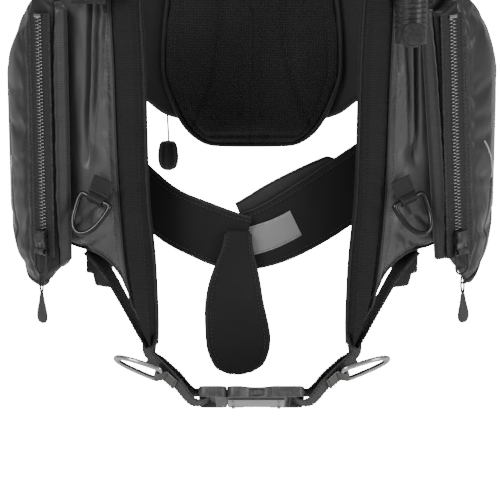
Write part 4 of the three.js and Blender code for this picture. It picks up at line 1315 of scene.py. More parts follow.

    # a short bright tube down the pocket's outer seam, a painted highlight standing for the seam's glint
    tree = surface_tree(pocket)
    low_end, high_end = ((77.6, -160), (76.2, -112)) if sign < 0 else ((76.4, -134), (70.4, -94))
    share = np.linspace(0, 1, 40)
    arcs = lerp(low_end[0], high_end[0], share) + 0.8 * np.sin(math.pi * share)
    z = lerp(low_end[1], high_end[1], share)
    settle(
        tube(f"{name}_bright_piping", laid_on(tree, sign * arcs, z, 0.3), 1.0, painted_highlight_piping, 8), "vest",
        "pocket_nylon",
    )
    z = np.linspace(-222, 26, 90)
    rows = [laid_on(tree, sign * (zip_angle(side, z) + 8.6), z, 0.1, 48.0)]
    bottom_angle = np.linspace(68, 94, 40)
    rows.append(laid_on(tree, sign * bottom_angle, pocket_bottom(bottom_angle) + 13, 0.1, 48.0))
    settle(stitches(f"{name}_pocket_stitches", rows, dark_thread, 4.2, 2.9, 0.8), "vest", "pocket_nylon")
    rim_angle = np.linspace(side[3] + 8, 94, 60)
    rim_z = pocket_bottom(rim_angle) + 5.0
    rim_line = laid_on(tree, sign * rim_angle, rim_z, 0.2, POCKET_INSIDE + 9.5)
    settle(tube(f"{name}_pocket_piping", rim_line, 1.6, piping, 8), "vest", "pocket_nylon")

    # slider, and its pull: a cord loop through a rubber tag
    slider = refined(f"{name}_slider", f"zip_slider_{name}", dark_metal, 1.1, 3)
    settle(slider, f"zip_slider_{name}", "steel", f"zip_slider_{name}")
    rise = ZIP_THICK / 2 + GAP
    bail = Path([tape_at.put(p) for p in (
        (6, -7.8, rise + 4), (-2, -8.2, rise + 4), (-14, -7.4, rise + 4), (-19.2, 0, rise + 4),
    )])
    bail_far = Path([tape_at.put(p) for p in (
        (6, 7.8, rise + 4), (-2, 8.2, rise + 4), (-14, 7.4, rise + 4), (-19.2, 0, rise + 4),
    )])
    body = f"zip_pull_{name}"
    bars = [
        tube(f"{name}_pull_bail_{k}", b.at(np.linspace(0, 1, 26)), 1.2, dark_metal, 10) for k,
        b in enumerate((bail, bail_far))
    ]
    pin = tube(
        f"{name}_pull_pin", [tape_at.put((6, y, rise + 4)) for y in np.linspace(-8.6, 8.6, 9)], 1.5,
        dark_metal, 12,
    )
    for piece in (*bars, pin):
        settle(piece, body, "pull_rubber")
    loop = [tape_at.put((
        -17 - 24 * t, 2.1 * math.sin(math.pi * t), rise + 4,
    )) for t in np.linspace(0, 1, 20)]
    back = [tape_at.put((
        -17 - 24 * t, -2.1 * math.sin(math.pi * t), rise + 4,
    )) for t in np.linspace(0, 1, 20)]
    for k, strand in enumerate((loop, back)):
        settle(tube(f"{name}_pull_cord_{k}", strand, 1.0, webbing, 8), body, "pull_rubber")
    outline = [
        (0.3, 16), (2.4, 15.6), (3.4, 12), (4.4, 7), (6.0, 1), (7.3, -5), (7.3, -9.5), (5.6, -13),
        (2.6, -14.8), (0.3, -15),
    ]
    drop = Path([(r, 0, h) for r, h in outline])
    curve = drop.at(drop.even(34))
    tag_place = Frame(tape_at.put((-54, 0, rise + 4)), tape_at.axes[1], tape_at.axes[2])
    up = -1 if tag_place.axes[2] @ along < 0 else 1
    flat = lambda p: tag_place.put(p * np.array([1.0, TAG_FLATNESS, up]))
    tag = lathe(
        f"{name}_pull_tag", np.stack([np.abs(curve[:, 0]) + 0.05, curve[:, 2]], 1), flat, tag_rubber, 32,
    )
    settle(tag, body, "pull_rubber", f"zip_pull_{name}")

# ---------- lower pouches ----------
for name, sign, _, _, seed in SIDES:
    pouch = panel(
        f"{name}_lower_pouch",
        lambda z: sign * 42.2 + 0 * z,
        lambda z: sign * 56.8 + 0 * z,
        lambda a: np.where(
            np.abs(a) < 50, -246, lerp(-246, -234, np.clip((np.abs(a) - 50) / 2, 0, 1)),
        ) + 0.5,
        lambda a: -188.5 + 0 * a,
        SKIN - 15.5,
        lambda u, v: SKIN - 3.0 + 0 * u,
        dark_nylon,
        (24, 28),
        rim=3.5,
    )

    def pouch_folds(angle, z, offset):
        soft = 1.6 * stretched_ripple(angle, z, 10, 40, seed + 40)
        return np.clip((offset + 9) / 4, 0, 1) * (soft - 0.8)

    sculpt(pouch, pouch_folds)
    settle(pouch, "vest", "nylon", f"lower_pouch_{name}")
    edge_angle = sign * np.linspace(43, 49.5, 20)
    settle(
        stitches(f"{name}_pouch_stitches", [wall(edge_angle, -242.0, SKIN - 2.6)], thread, 4.0, 2.8, 0.7),
        "vest", "nylon",
    )

# ---------- straps under the lobes' lower edges ----------
for name, sign, _, _, _ in SIDES:
    run = Path([
        wall([sign * a], z, offset)[0] for a, z,
        offset in ((50, -206, 6), (41.5, -225, 6), (35, -251, 6), (28.6, -283, 6), (25.4, -301, 6))
    ])

    def edge_on(t):
        """Mostly outwards from the wearer, with the outer edge turned down a little."""
        out = wall_out(np.array([sign * lerp(50.0, 26.0, float(t))]))[0]
        return unit(out + np.array((0, 0, -0.06)))

    strap = ribbon(
        f"{name}_lobe_edge_strap", run, webbing, 20, edge_on, 2.4, 70, width_steps=10, even=False,
    )
    settle(strap, "vest", "webbing")
    t = np.linspace(0.03, 0.94, 50)
    wide = np.array([edge_on(x) for x in t])
    along = run.tangent(t)
    side = unit(wide - along * np.einsum("ij,ij->i", wide, along)[:, None])
    out = unit(np.cross(along, side))
    rows = [run.at(t) + side * 8.4 + out * lift for lift in (-1.4, 1.4)]
    settle(stitches(f"{name}_edge_strap_stitches", rows, thread, 3.6, 2.5, 0.7), "vest", "webbing")

# ---------- chest rings and their tabs ----------
LOOP_RISE = 4.4


def ring_path(bar, reach, bend=0.0):
    """A D-shaped wire in the XY plane, with its straight bar on Y."""
    half = bar / 2
    turns = -math.pi / 2 + math.pi * np.arange(9) / 8
    reach_share = np.maximum(np.cos(turns), 0) ** 0.8
    bow = np.stack([reach * reach_share, half * np.sin(turns), bend * np.cos(turns)], 1)
    return Path(
        np.vstack([bow, [(-0.5, half * 0.55, 0), (-0.5, 0, 0), (-0.5, -half * 0.55, 0)]]), closed=True,
    )


def tilted(points, degrees):
    """Points turned about Y, as a ring hangs in its tab."""
    a = math.radians(-degrees)
    x, y, z = np.asarray(points, float).T
    x = x + 0.5
    return np.stack(
        [x * math.cos(a) + z * math.sin(a), y, -x * math.sin(a) + z * math.cos(a) + LOOP_RISE], 1,
    )


def ring_tab(name, place, x0, x1, half_width, loop_half, cloth, body, slot, node):
    """A sewn tab whose webbing turns over the ring's bar, with a box of stitches."""
    flat = [
        (x0, 0.9), (x0 * 0.5, 0.95), (-5.5, 1.3), (-3.6, 4.6), (0, 8.3), (3.6, 4.6),
        (5.5 if x1 > 5.5 else x1, 1.0),
    ]
    line = Path([place.put((x, 0, h)) for x, h in flat])
    share = loop_half / half_width
    width = lambda t: 2 * half_width * np.where(
        t < 0.42, 1.0, lerp(1.0, max(share, 0.8), np.clip((t - 0.42) / 0.1, 0, 1)),
    )
    tab = ribbon(name, line, cloth, width, lambda t: place.axes[1], 1.8, 60, width_steps=10)
    settle(tab, body, slot, node)
    y, near, far = half_width - 2.2, -7.5, x0 + 2.2
    box = [(far, -y), (near, -y), (near, y), (far, y), (far, -y)]
    rows = [np.array([place.put((
        lerp(a[0], b[0], t), lerp(a[1], b[1], t), 2.0,
    )) for t in np.linspace(0, 1, 12)]) for a, b in zip(box, box[1:])]
    settle(stitches(f"{name}_stitches", rows, thread, 3.0, 2.2, 0.7), body, slot)


for name, sign, _, _, _ in SIDES:
    foot = wall([sign * 40.0], -146.0, SKIN + LOBE_THICK - 0.3)[0]
    out = wall_out(np.array([sign * 40.0]))[0]
    roll = math.radians(sign * 20)
    down = np.array([0, 0, -1.0])
    rolled = down * math.cos(roll) + np.cross(out, down) * math.sin(roll)
    hang = rolled + out * (out @ down) * (1 - math.cos(roll))
    place = facing(foot, hang, out)
    ring_tab(f"{name}_chest_tab", place, -22, 5, 11, 7, dark_nylon, "vest", "webbing", f"ring_patch_{name}")
    wire = tilted(ring_path(32, 36, 10).at(np.linspace(0, 1, 72, endpoint=False)), 12)
    ring = tube(f"{name}_chest_ring_wire", place.put(wire), WIRE, ring_plastic, 14, closed=True)
    settle(ring, f"chest_ring_{name}", "plastic", f"chest_ring_{name}")

# ---------- back pad ----------
pad_half_width = profile(
    (-124, 34), (-120, 52), (-104, 72), (-74, 88), (-40, 98), (40, 92), (130, 74), (198, 62),
)


def pad_angle(x):
    return 180 - np.sign(x) * np.degrees(np.arcsin(np.minimum(
        np.abs(x) / TORSO_HALF_WIDTH, 1,
    ) ** (SQUARENESS / 2)))


def pad_point(x, z, offset):
    return wall(pad_angle(x), z, offset)


uvw, quads = box_surface(44, 64, 6)
u, v, w = uvw.T
inset = 4.0 * (1 - np.sqrt(np.maximum(1 - (2 * w - 1) ** 2, 0)))
pad_z = lerp(-124 + inset, 198 - inset, v**1.7)
pad_x = lerp(-1, 1, u) * (pad_half_width(pad_z) - inset)
pad_rise = pillow(19.5, 0.4, 0.16)(u, v)
back_pad = finished_mesh(
    "back_pad_cushion", pad_point(pad_x, pad_z, SKIN - 3 * GAP - pad_rise * (1 - w)), quads, pad_mesh,
)


def pad_sewn(points):
    rim = np.minimum(pad_half_width(points[:, 2]) - np.abs(points[:, 0]), points[:, 2] + 124)
    _, _, offset = wall_place(points)
    return np.clip(1 - rim / 9, 0, 1) + (offset > SKIN - 5)


swell(back_pad, pad_sewn, cap=5.0, slack=0.01)


def pad_channels(angle, z, offset):
    x = np.abs(wall(angle, z, 0.0)[:, 0])
    inner = np.clip((-offset - 6) / 8, 0, 1)
    border = np.minimum(pad_half_width(z) - x, z + 124)
    arch = x - (34 + 0.0019 * (z - 30) ** 2)
    spine = x - 12
    quilt = groove(border - 12, 3.0, 2.6) + groove(arch, 3.6, 3.0) + groove(spine, 1.6, 3.0) * (z > -90)
    return -inner * (quilt + 0.8 * ripple(angle, z, 40, 3.3))


sculpt(back_pad, pad_channels)
settle(back_pad, "vest", "air_mesh", "back_pad")
rim_z = np.concatenate([np.linspace(190, -100, 110), np.linspace(-104, -122.5, 16)])
rim = [(s * pad_half_width(z) * 1.0, z) for s, zs in ((-1, rim_z), (1, rim_z[::-1])) for z in zs]
rim_points = np.array([pad_point(np.array([x]), z, -4.5)[0] for x, z in rim])
rim_path = Path(rim_points)
settle(tube("back_pad_binding", rim_path.at(rim_path.even(260)), 3.0, binding, 10), "vest", "air_mesh")


def inside_point(x, z, depth=18.0):
    """A point on the wearer's side of the back pad."""
    return pad_point(np.atleast_1d(x), z, -depth)


pad_tree = surface_tree(back_pad)


def on_pad(x, z):
    at = inside_point(x, z, 60.0)[0]
    way = wall_out(np.atleast_1d(pad_angle(np.atleast_1d(x))))[0]
    hit = pad_tree.ray_cast(Vector(at * MM), Vector(way), 0.2)[0]
    return np.array(hit) / MM - way * 0.3 if hit else inside_point(x, z)[0]


arch_rows, border_rows = [], []
for s in (-1, 1):
    arch_rows.append(np.array([on_pad(
        s * (34 + 0.0019 * (z - 30) ** 2), z,
    ) for z in np.linspace(-92, 160, 70)]))
    border_rows.append(np.array([on_pad(
        s * (pad_half_width(z) - 12), z,
    ) for z in np.linspace(-108, 176, 80)]))
settle(stitches("back_pad_stitches", arch_rows + border_rows, thread, 4.4, 3.0, 0.8), "vest", "air_mesh")

# ---------- rear air cell ----------
rear_bottom = profile(
    (100.4, -166), (112, -138), (124, -118), (134, -88), (142, -64), (150, -72), (158, -90), (168, -98),
    (180, -100),
)
rear_top = profile((100.4, 32), (112, 62), (124, 112), (136, 165), (150, 208), (165, 226), (180, 228))
uvw, quads = box_surface(120, 60, 5)
u, v, w = uvw.T
inset = 4.0 * (1 - np.sqrt(np.maximum(1 - (2 * w - 1) ** 2, 0)))
angle = lerp(SIDE_SEAM - 1.3, 361.3 - SIDE_SEAM, rounded(u, inset / 480))
folded = np.clip(np.minimum(angle, 360 - angle), SIDE_SEAM, 180)
cell_z = lerp(rear_bottom(folded) + inset, rear_top(folded) - inset, v)
cell_rise = pillow(REAR_THICK - 1.5, 0.5, 0.05)(u, v)
cell = finished_mesh(
    "rear_air_cell_shell", wall(angle, cell_z, SKIN + 0.2 + w * cell_rise), quads, dark_nylon,
)


def half_turn(angle):
    return np.where(angle < 0, -angle, angle)


def cell_sewn(points):
    angle, z, offset = wall_place(points)
    a = half_turn(angle)
    rim = np.minimum(z - rear_bottom(a), rear_top(a) - z)
    middle = (np.abs(points[:, 0]) < 72) & (points[:, 1] > -60)
    side = np.clip(1 - (a - SIDE_SEAM) / 4, 0, 1)
    return np.clip(1 - rim / 9, 0, 1) + (offset < SKIN + 4) + middle + side


swell(cell, cell_sewn, None, cap=3.5, slack=0.01)


def cell_folds(angle, z, offset):
    a = half_turn(angle)
    outer = np.clip((offset - 6) / 6, 0, 1)
    away = np.clip((np.abs(wall(angle, z, 0.0)[:, 0]) - 66) / 12, 0, 1)
    seam = groove(z - rear_bottom(a) - 9, 1.6, 2.4) + groove(rear_top(a) - z - 9, 1.6, 2.4)
    slow = 1.6 * stretched_ripple(angle, z, 40, 60, 12.4) + 0.7 * stretched_ripple(angle, z, 16, 26, 15.1)
    return outer * away * (seam + slow - 0.6)


sculpt(cell, cell_folds, lambda a, z: SKIN + REAR_THICK + 2 + 0 * a)
settle(cell, "vest", "nylon", "rear_air_cell")
for label, edge, step in (("lower", rear_bottom, 1.2), ("upper", rear_top, -1.2)):
    turn = np.linspace(101.5, 258.5, 160)
    near = np.minimum(turn, 360 - turn)
    line = wall(turn, edge(near) + step, SKIN + 4.6)
    settle(tube(f"rear_{label}_piping", line, 2.2, piping, 8), "vest", "nylon")
    tree = surface_tree(cell)
    spots = [t for t in turn[2:-2] if abs(t - 180) > 32]
    for k, part in enumerate(([t for t in spots if t < 180], [t for t in spots if t > 180])):
        part = np.array(part)
        fold = np.minimum(part, 360 - part)
        row = laid_on(tree, part, edge(fold) + step * 9.5, 0.1, SKIN + REAR_THICK)
        settle(stitches(f"rear_{label}_stitches_{k}", [row], dark_thread, 4.4, 3.0, 0.8), "vest", "nylon")

# ---------- backplate, tank rest and carry handle ----------
PLATE_BACK = -4.3
BEAD_INSET = 7.0
plate = refined("moulded_backplate", "backplate", plastic, 1.6, 3)
settle(plate, "vest", "plastic", "backplate")
bead = []
corner = 20
x, low, high = 60 - BEAD_INSET, -96 + BEAD_INSET, 196 - BEAD_INSET
for cx, cz, start in (
    (x - corner, high - corner, 0), (-x + corner, high - corner, 90), (-x + corner, low + corner, 180),
    (x - corner, low + corner, 270)
):
    for t in np.linspace(start, start + 90, 9):
        bead.append((
            cx + corner * math.cos(math.radians(t)), PLATE_BACK + 0.2,
            cz + corner * math.sin(math.radians(t)),
        ))
settle(tube("backplate_bead", bead, 1.6, plastic, 8, closed=True), "vest", "plastic")
rest = refined("tank_rest_block", "tank_rest", rubber, 1.2, 3)
settle(rest, "vest", "rubber", "tank_rest")
ribs = [np.array([(x, 0.0, z) for x in np.linspace(-25, 25, 12)]) for z in np.linspace(-32, 32, 11)]
rib_points = np.vstack(ribs)
grips = grown(
    "tank_rest_ribs", BLOCKS, [rib_points], np.tile((1.0, 0, 0), (len(rib_points), 1)),
    np.tile((0, 1.0, 0), (len(rib_points), 1)), Size=(0.0036, 0.0022, 0.0012), Finish=rubber,
)
settle(grips, "vest", "rubber")

handle_way = [
    (-46, 4, 172), (-46, 10, 194), (-30, 16, 218), (0, 18, 226), (30, 16, 218), (46, 10, 194),
    (46, 4, 172),
]
handle_path = Path(handle_way)
bow = handle_path.at(handle_path.even(90))
swelling = 5.6 + 0.8 * np.exp(-((np.linspace(-1, 1, 90) / 0.42) ** 4))
settle(tube("carry_handle_bow", bow, swelling, rubber, 20), "vest", "rubber", "carry_handle")
grip_line = [handle_path.at(np.linspace(0.32, 0.68, 60))]
settle(
    grown(
        "carry_handle_ridges", HOOPS, grip_line, Pitch=0.0055, Radius=0.0062, Thickness=0.0011,
        Finish=rubber,
    ),
    "vest", "rubber",
)
for s in (-1, 1):
    foot_path = Path([(s * 46, PLATE_BACK + 3.4, z) for z in (158.2, 163, 171, 177.8)])
    foot = ribbon(
        f"carry_handle_foot_{'right' if s < 0 else 'left'}", foot_path, rubber, 18, lambda t: (1, 0, 0),
        lambda t, v: 6.4 + 2.2 * np.sin(math.pi * v), 24, width_steps=14,
    )
    settle(foot, "vest", "rubber")


def screw(name, at, out, radius=3.6, material=steel, body="vest"):
    """A domed screw head with a round recess in its middle."""
    place = facing(at, (0, 0, 1), out)
    outline = [
        (0.05, -0.4), (radius * 0.45, -0.4), (radius * 0.5, 1.2), (radius * 0.72, 2.0), (radius, 1.1),
        (radius, 0.0), (radius, -1.0), (0.05, -1.0),
    ]
    head = lathe(name, outline, place.put, material, 24)
    return settle(head, body, "steel")


for k, (x, z) in enumerate(((-46, 163), (46, 163), (-18, 64), (18, 64), (-18, -62), (18, -62))):
    height = PLATE_BACK + (7.4 if z > 150 else 0.2)
    screw(f"backplate_screw_{k}", (x, height, z), (0, 1, 0))

# ---------- tank band and cam buckle ----------
BAND_RADIUS = 92 + 1.5 + 1.5
BAND_CENTRE = 92.5
start = math.asin((50 + 1.5 - 1.5) / BAND_RADIUS)
turns = np.linspace(-math.pi / 2 + start, 1.5 * math.pi - start, 40)
round_tank = [(BAND_RADIUS * math.cos(t), BAND_CENTRE + BAND_RADIUS * math.sin(t), 0) for t in turns]
front_run = [(-50, -11.1, 0), (-30, -11.1, 0), (0, -11.1, 0), (30, -11.1, 0), (50, -11.1, 0)]
turned_in = [(51.3, -10.2, 0), (51.4, -5, 0), (51.8, 2, 0)]
turned_out = [(-51.8, 2, 0), (-51.4, -5, 0), (-51.3, -10.2, 0)]
band_points = front_run[2:] + turned_in + round_tank[1:-1] + turned_out + front_run[:2]
band_path = Path(band_points, closed=True)
band = ribbon(
    "tank_band_webbing", band_path, webbing, 50, lambda t: (0, 0, 1), 2.6, 420, width_steps=10, even=False,
)
settle(band, "vest", "webbing", "tank_band")
for z in (-21.5, 21.5):
    t = np.linspace(0, 1, 420, endpoint=False)
    ring = band_path.at(t)
    outward = ring - np.stack([0 * t, 0 * t + BAND_CENTRE, 0 * t], 1)
    spots = ring + unit(outward) * 1.5 + np.array((0, 0, z))
    keep = spots[(spots[:, 1] > 12)]
    settle(
        stitches(f"tank_band_stitches_{'upper' if z > 0 else 'lower'}", [keep], thread, 4.2, 2.8, 0.7),
        "vest", "webbing",
    )
cam = refined("cam_buckle_body", "cam_buckle", plastic, 0.9, 3)
settle(cam, "vest", "plastic", "cam_buckle")
lever = refined("cam_buckle_lever", "cam_lever", satin_plastic, 0.9, 3)
settle(lever, "cam_lever", "plastic", "cam_lever")
lever_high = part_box("cam_lever")[1]
knurl_x = lever_high.x / MM - 3.9
knurls = np.array([(knurl_x, y, z) for y in np.linspace(84, 114, 8) for z in np.linspace(-17, 17, 9)])
lever_ridges = grown(
    "cam_lever_ridges", BLOCKS, [knurls], np.tile((0, 0, 1.0), (len(knurls), 1)),
    np.tile((1.0, 0, 0), (len(knurls), 1)), Size=(0.0034, 0.0013, 0.0012), Finish=satin_plastic,
)
settle(lever_ridges, "cam_lever", "plastic")

# ---------- cummerbund ----------
UP = (0.0, 0.0, 1.0)
BAND_THICK = 5.0


def sewn_to(angle, z):
    return tuple(wall([float(angle)], z, SKIN - BAND_THICK / 2 - 4.1)[0])


right_band = [
    sewn_to(-131, -58),
    sewn_to(-118, -68),
    (-176, -110, -86),
    (-153, -138, -112),
    (-120, -166, -146),
    (-84, -189, -174),
    (-50, -201, -188),
    (-27, -206, -196),
    (-6, -207, -200),
]
left_band = [
    (-22, -200, -204),
    (20, -198, -192),
    (60, -189, -172),
    (98, -172, -150),
    (132, -150, -128),
    (157, -129, -108),
    (178, -106, -92),
    sewn_to(118, -76),
    sewn_to(131, -66),
]
right_width = profile((0, 44), (0.5, 52), (0.8, 58), (1, 54))
left_width = profile((0, 56), (0.3, 70), (0.5, 68), (0.7, 52), (1, 44))


def band_edges(path, width, lift, count=120, share=0.5, span=(0.0, 1.0)):
    """The two edges of a strap as lines, at a share of its width from its middle and lifted off its face."""
    t = np.linspace(span[0], span[1], count)
    along = path.tangent(t)
    wide = np.tile(UP, (count, 1))
    side = unit(wide - along * along[:, 2:3])
    out = unit(np.cross(along, side))
    half = (width(t) * share)[:, None]
    middle = path.at(t) + out * lift
    return middle - side * half, middle + side * half


for name, points, width in (("right", right_band, right_width), ("left", left_band, left_width)):
    path = Path(points)
    soft = lambda t, v: BAND_THICK * (0.72 + 0.28 * np.sin(math.pi * np.clip(v, 0.02, 0.98)))

    def sway(t, v):
        wave = 1.3 * np.sin(5.2 * t * math.pi + 2.0 * v) * (v - 0.5)
        return wave * np.clip(6 * t, 0, 1) * np.clip(6 - 6 * t, 0, 1)

    piece = ribbon(
        f"{name}_cummerbund", path, neoprene, width, lambda t: UP, soft, 200, lift=sway, width_steps=22,
        soften=0.8, even=False,
    )
    settle(piece, "vest", "hook_fabric", f"cummerbund_{name}")
    lower, upper = band_edges(path, width, 0.0)
    for label, line in (("lower", lower), ("upper", upper)):
        settle(
            tube(f"{name}_cummerbund_{label}_binding", line, 2.0, binding, 8, squash=0.8), "vest",
            "hook_fabric",
        )
    rows = [line for side in (-2.9, 2.9) for line in band_edges(path, width, side, 120, 0.43)]
    settle(stitches(f"{name}_cummerbund_stitches", rows, thread, 4.2, 2.9, 0.7), "vest", "hook_fabric")

liner_path = Path([(x + (14 if x < 0 else 0), y, z + 22) for x, y, z in left_band[:4]])
liner_width = profile((0, 44), (0.5, 54), (0.9, 42), (1, 22))
LINER_LIFT = -(BAND_THICK + 3) / 2 - 4 * GAP
liner_round = lambda t: liner_width(t) * np.sqrt(np.clip(
    1 - np.clip((t - 0.9) / 0.1, 0, 1) ** 2 * 0.75, 0.05, 1,
))
liner = ribbon(
    "cummerbund_inner_liner", liner_path, loop_cloth, liner_round, lambda t: UP, 2.8, 110, lift=LINER_LIFT,
    width_steps=16, soften=0.5, even=False,
)
settle(liner, "vest", "hook_fabric", "cummerbund_liner")
for label, line in zip(("lower", "upper"), band_edges(liner_path, liner_round, LINER_LIFT, 90)):
    settle(tube(f"liner_{label}_binding", line, 1.5, binding, 8), "vest", "hook_fabric")

# a plain grey woven patch, sewn where the two halves meet
PATCH_ACROSS = (0.3, 0.0, 1.0)
left_path = Path(left_band)
patch_run = Path(left_path.at(np.linspace(0.05, 0.2, 5)))
patch = ribbon(
    "cummerbund_patch", patch_run, patch_cloth, 30, lambda t: PATCH_ACROSS, 0.9, 40, lift=3.6,
    width_steps=8,
)
settle(patch, "vest", "hook_fabric")
patch_sides = band_edges(patch_run, lambda t: 26 + 0 * t, 4.2, 40, span=(0.04, 0.96))
settle(
    stitches("cummerbund_patch_stitches", patch_sides, dark_thread, 3.0, 2.1, 0.6), "vest", "hook_fabric",
)

# the tongue at the front, which swings on the cummerbund
tongue_width = profile((0, 24), (0.15, 30), (0.4, 52), (0.65, 62), (0.8, 62), (0.93, 48), (1, 26))
tongue_path = Path([
    (-14, -213.6, -186), (-16, -214, -220), (-18, -218, -262), (-14, -218, -300), (-12, -215, -337),
])
TONGUE_ACROSS = (1.0, 0.12, 0.04)
tongue_round = lambda t: tongue_width(t) * np.sqrt(np.clip(
    1 - np.clip((t - 0.93) / 0.07, 0, 1) ** 2 * 0.8, 0.1, 1,
))
tongue = ribbon(
    "cummerbund_tongue_pad", tongue_path, neoprene, tongue_round, lambda t: TONGUE_ACROSS, lambda t,
    v: 3.2 + 1.8 * np.sin(math.pi * np.clip(v, 0.02, 0.98)), 130, width_steps=26, soften=0.8, even=False,
)
settle(tongue, "cummerbund_tongue", "hook_fabric", "cummerbund_tongue")


def tongue_edge(share, lift, side, start=0.02):
    t = np.linspace(start, 0.985, 90)
    along = tongue_path.tangent(t)
    wide = np.tile(unit(TONGUE_ACROSS), (90, 1))
    across = unit(wide - along * np.einsum("ij,ij->i", wide, along)[:, None])
    out = unit(np.cross(along, across))
    return tongue_path.at(t) + across * (side * share * tongue_round(t))[:, None] + out * lift


edge_line = np.vstack([tongue_edge(0.5, 0, -1), tongue_edge(0.5, 0, 1)[::-1]])
settle(tube("tongue_binding", edge_line, 1.9, binding, 8), "cummerbund_tongue", "hook_fabric")
BEHIND_BAND = 0.42
rows = [tongue_edge(0.43, 2.6, side) for side in (-1, 1)]
rows += [tongue_edge(0.43, -2.6, side, BEHIND_BAND) for side in (-1, 1)]
settle(stitches("tongue_stitches", rows, thread, 4.0, 2.8, 0.7), "cummerbund_tongue", "hook_fabric")

# ---------- waist buckle ----------
BUCKLE_AT = np.array((-25.0, -258.0, -349.0))
TILT = math.radians(152)
buckle_across = np.array((0, math.cos(TILT), math.sin(TILT)))
buckle_out = np.array((0, -math.sin(TILT), math.cos(TILT)))
latch = refined("waist_buckle_latch", "waist_latch", satin_plastic, 1.3, 3)
settle(latch, "waist_end_right", "plastic", "waist_latch")
socket = refined("waist_buckle_socket", "waist_socket", satin_plastic, 1.3, 3)
settle(socket, "vest", "plastic", "waist_socket")
cover = refined("waist_cover_plate", "waist_face_plate", satin, 0.6, 3)
settle(cover, "vest", "satin_cover", "waist_face_plate")
buckle_frame = Frame(BUCKLE_AT, (1, 0, 0), buckle_across)
for k, x in enumerate((6.0, 52.5)):
    for m, y in enumerate((-13.5, 13.5)):
        screw(f"cover_plate_rivet_{k}{m}", buckle_frame.put((x, y, 7.6)), buckle_out, 1.8, satin)
ridge_ways = np.tile(buckle_frame.axes[0], (24, 1))
ridge_ups = np.tile(buckle_out, (24, 1))
ridge_spots = [(60.5 + 2.4 * (k % 2), y, 5.7) for k in range(2) for y in np.linspace(-22, 22, 12)]
ridges = np.array([buckle_frame.put(spot) for spot in ridge_spots])
settle(
    grown(
        "waist_socket_ridges", BLOCKS, [ridges], ridge_ways, ridge_ups, Size=(0.0016, 0.0030, 0.0012),
        Finish=satin_plastic,
    ),
    "vest", "plastic",
)

# ---------- waist webbing, keepers and rings ----------
BAR_WIDTH, BAR_THICK = 5.0, 3.2


def looped(mouth, way, out, reach, inner, outer):
    """A strap that comes from inner, turns round a buckle's end bar and goes back to outer."""
    rise = BAR_THICK / 2 + WEBBING_THICK / 2 + 7 * GAP
    edge = reach - BAR_WIDTH - GAP
    turn = [(reach + 5, -rise), (edge, -rise), (edge - rise, 0), (edge, rise), (reach + 5, rise)]
    return [*inner, *(tuple(mouth + way * s + out * h) for s, h in turn), *outer]


for name, sign, _, _, _ in SIDES:
    reach = 29.0 if sign < 0 else 78.0
    way = np.array((sign, 0.0, 0.0))
    end = BUCKLE_AT + way * reach
    tail = np.array((sign * 104.0, -243.0, -306.3))
    tail_across = np.array((sign * -0.35, -0.85, 0.25))
    across = lambda t: unit(lerp(buckle_across, tail_across, abs(2 * t - 1)))
    between = lambda s, drop: lerp(end, tail, s) + buckle_out * drop
    sewn_in = wall([sign * 24.6], -287.0, 6.0)[0]
    inner = [sewn_in, tail, between(0.75, -1), between(0.45, -1.5)]
    outer = [between(0.45, 6), between(0.75, 5), between(1.02, 5)]
    run = Path(looped(BUCKLE_AT, way, buckle_out, reach, inner, outer))
    strap = ribbon(f"{name}_waist_webbing", run, webbing, 49, across, 2.2, 170, width_steps=12, even=False)
    rows = []
    for share in (-0.42, 0.42):
        for span in ((0.02, 0.3), (0.7, 0.98)):
            t = np.linspace(*span, 50)
            along = run.tangent(t)
            wide = np.array([across(x) for x in t])
            side = unit(wide - along * np.einsum("ij,ij->i", wide, along)[:, None])
            out = unit(np.cross(along, side))
            for lift in (-1.35, 1.35):
                rows.append(run.at(t) + side * share * 49 + out * lift)
    edges = stitches(f"{name}_waist_stitches", rows, thread, 3.6, 2.5, 0.7)
    if sign < 0:
        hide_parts("waist_webbing_right")
        for piece in (strap, edges):
            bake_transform(piece)
    else:
        settle(strap, "vest", "webbing", "waist_webbing_left")
        settle(edges, "vest", "webbing")
    body = "waist_end_right" if sign < 0 else "vest"
    along = tail - end
    out = np.cross(along, across(0.9))
    out = unit(out if out @ buckle_out > 0 else -out)
    place = facing(between(0.76, 8.6), along, out)
    ring_tab(
        f"{name}_ring_keeper", place, -20, 6, 20, 12, grey_tab, body, "grey_tab", f"ring_keeper_{name}",
    )
    wire = tilted(ring_path(46, 46).at(np.linspace(0, 1, 84, endpoint=False)), 22)
    ring = tube(f"{name}_waist_ring_wire", place.put(wire), WIRE, steel, 16, closed=True)
    settle(ring, f"waist_ring_{name}", "steel", f"waist_ring_{name}")

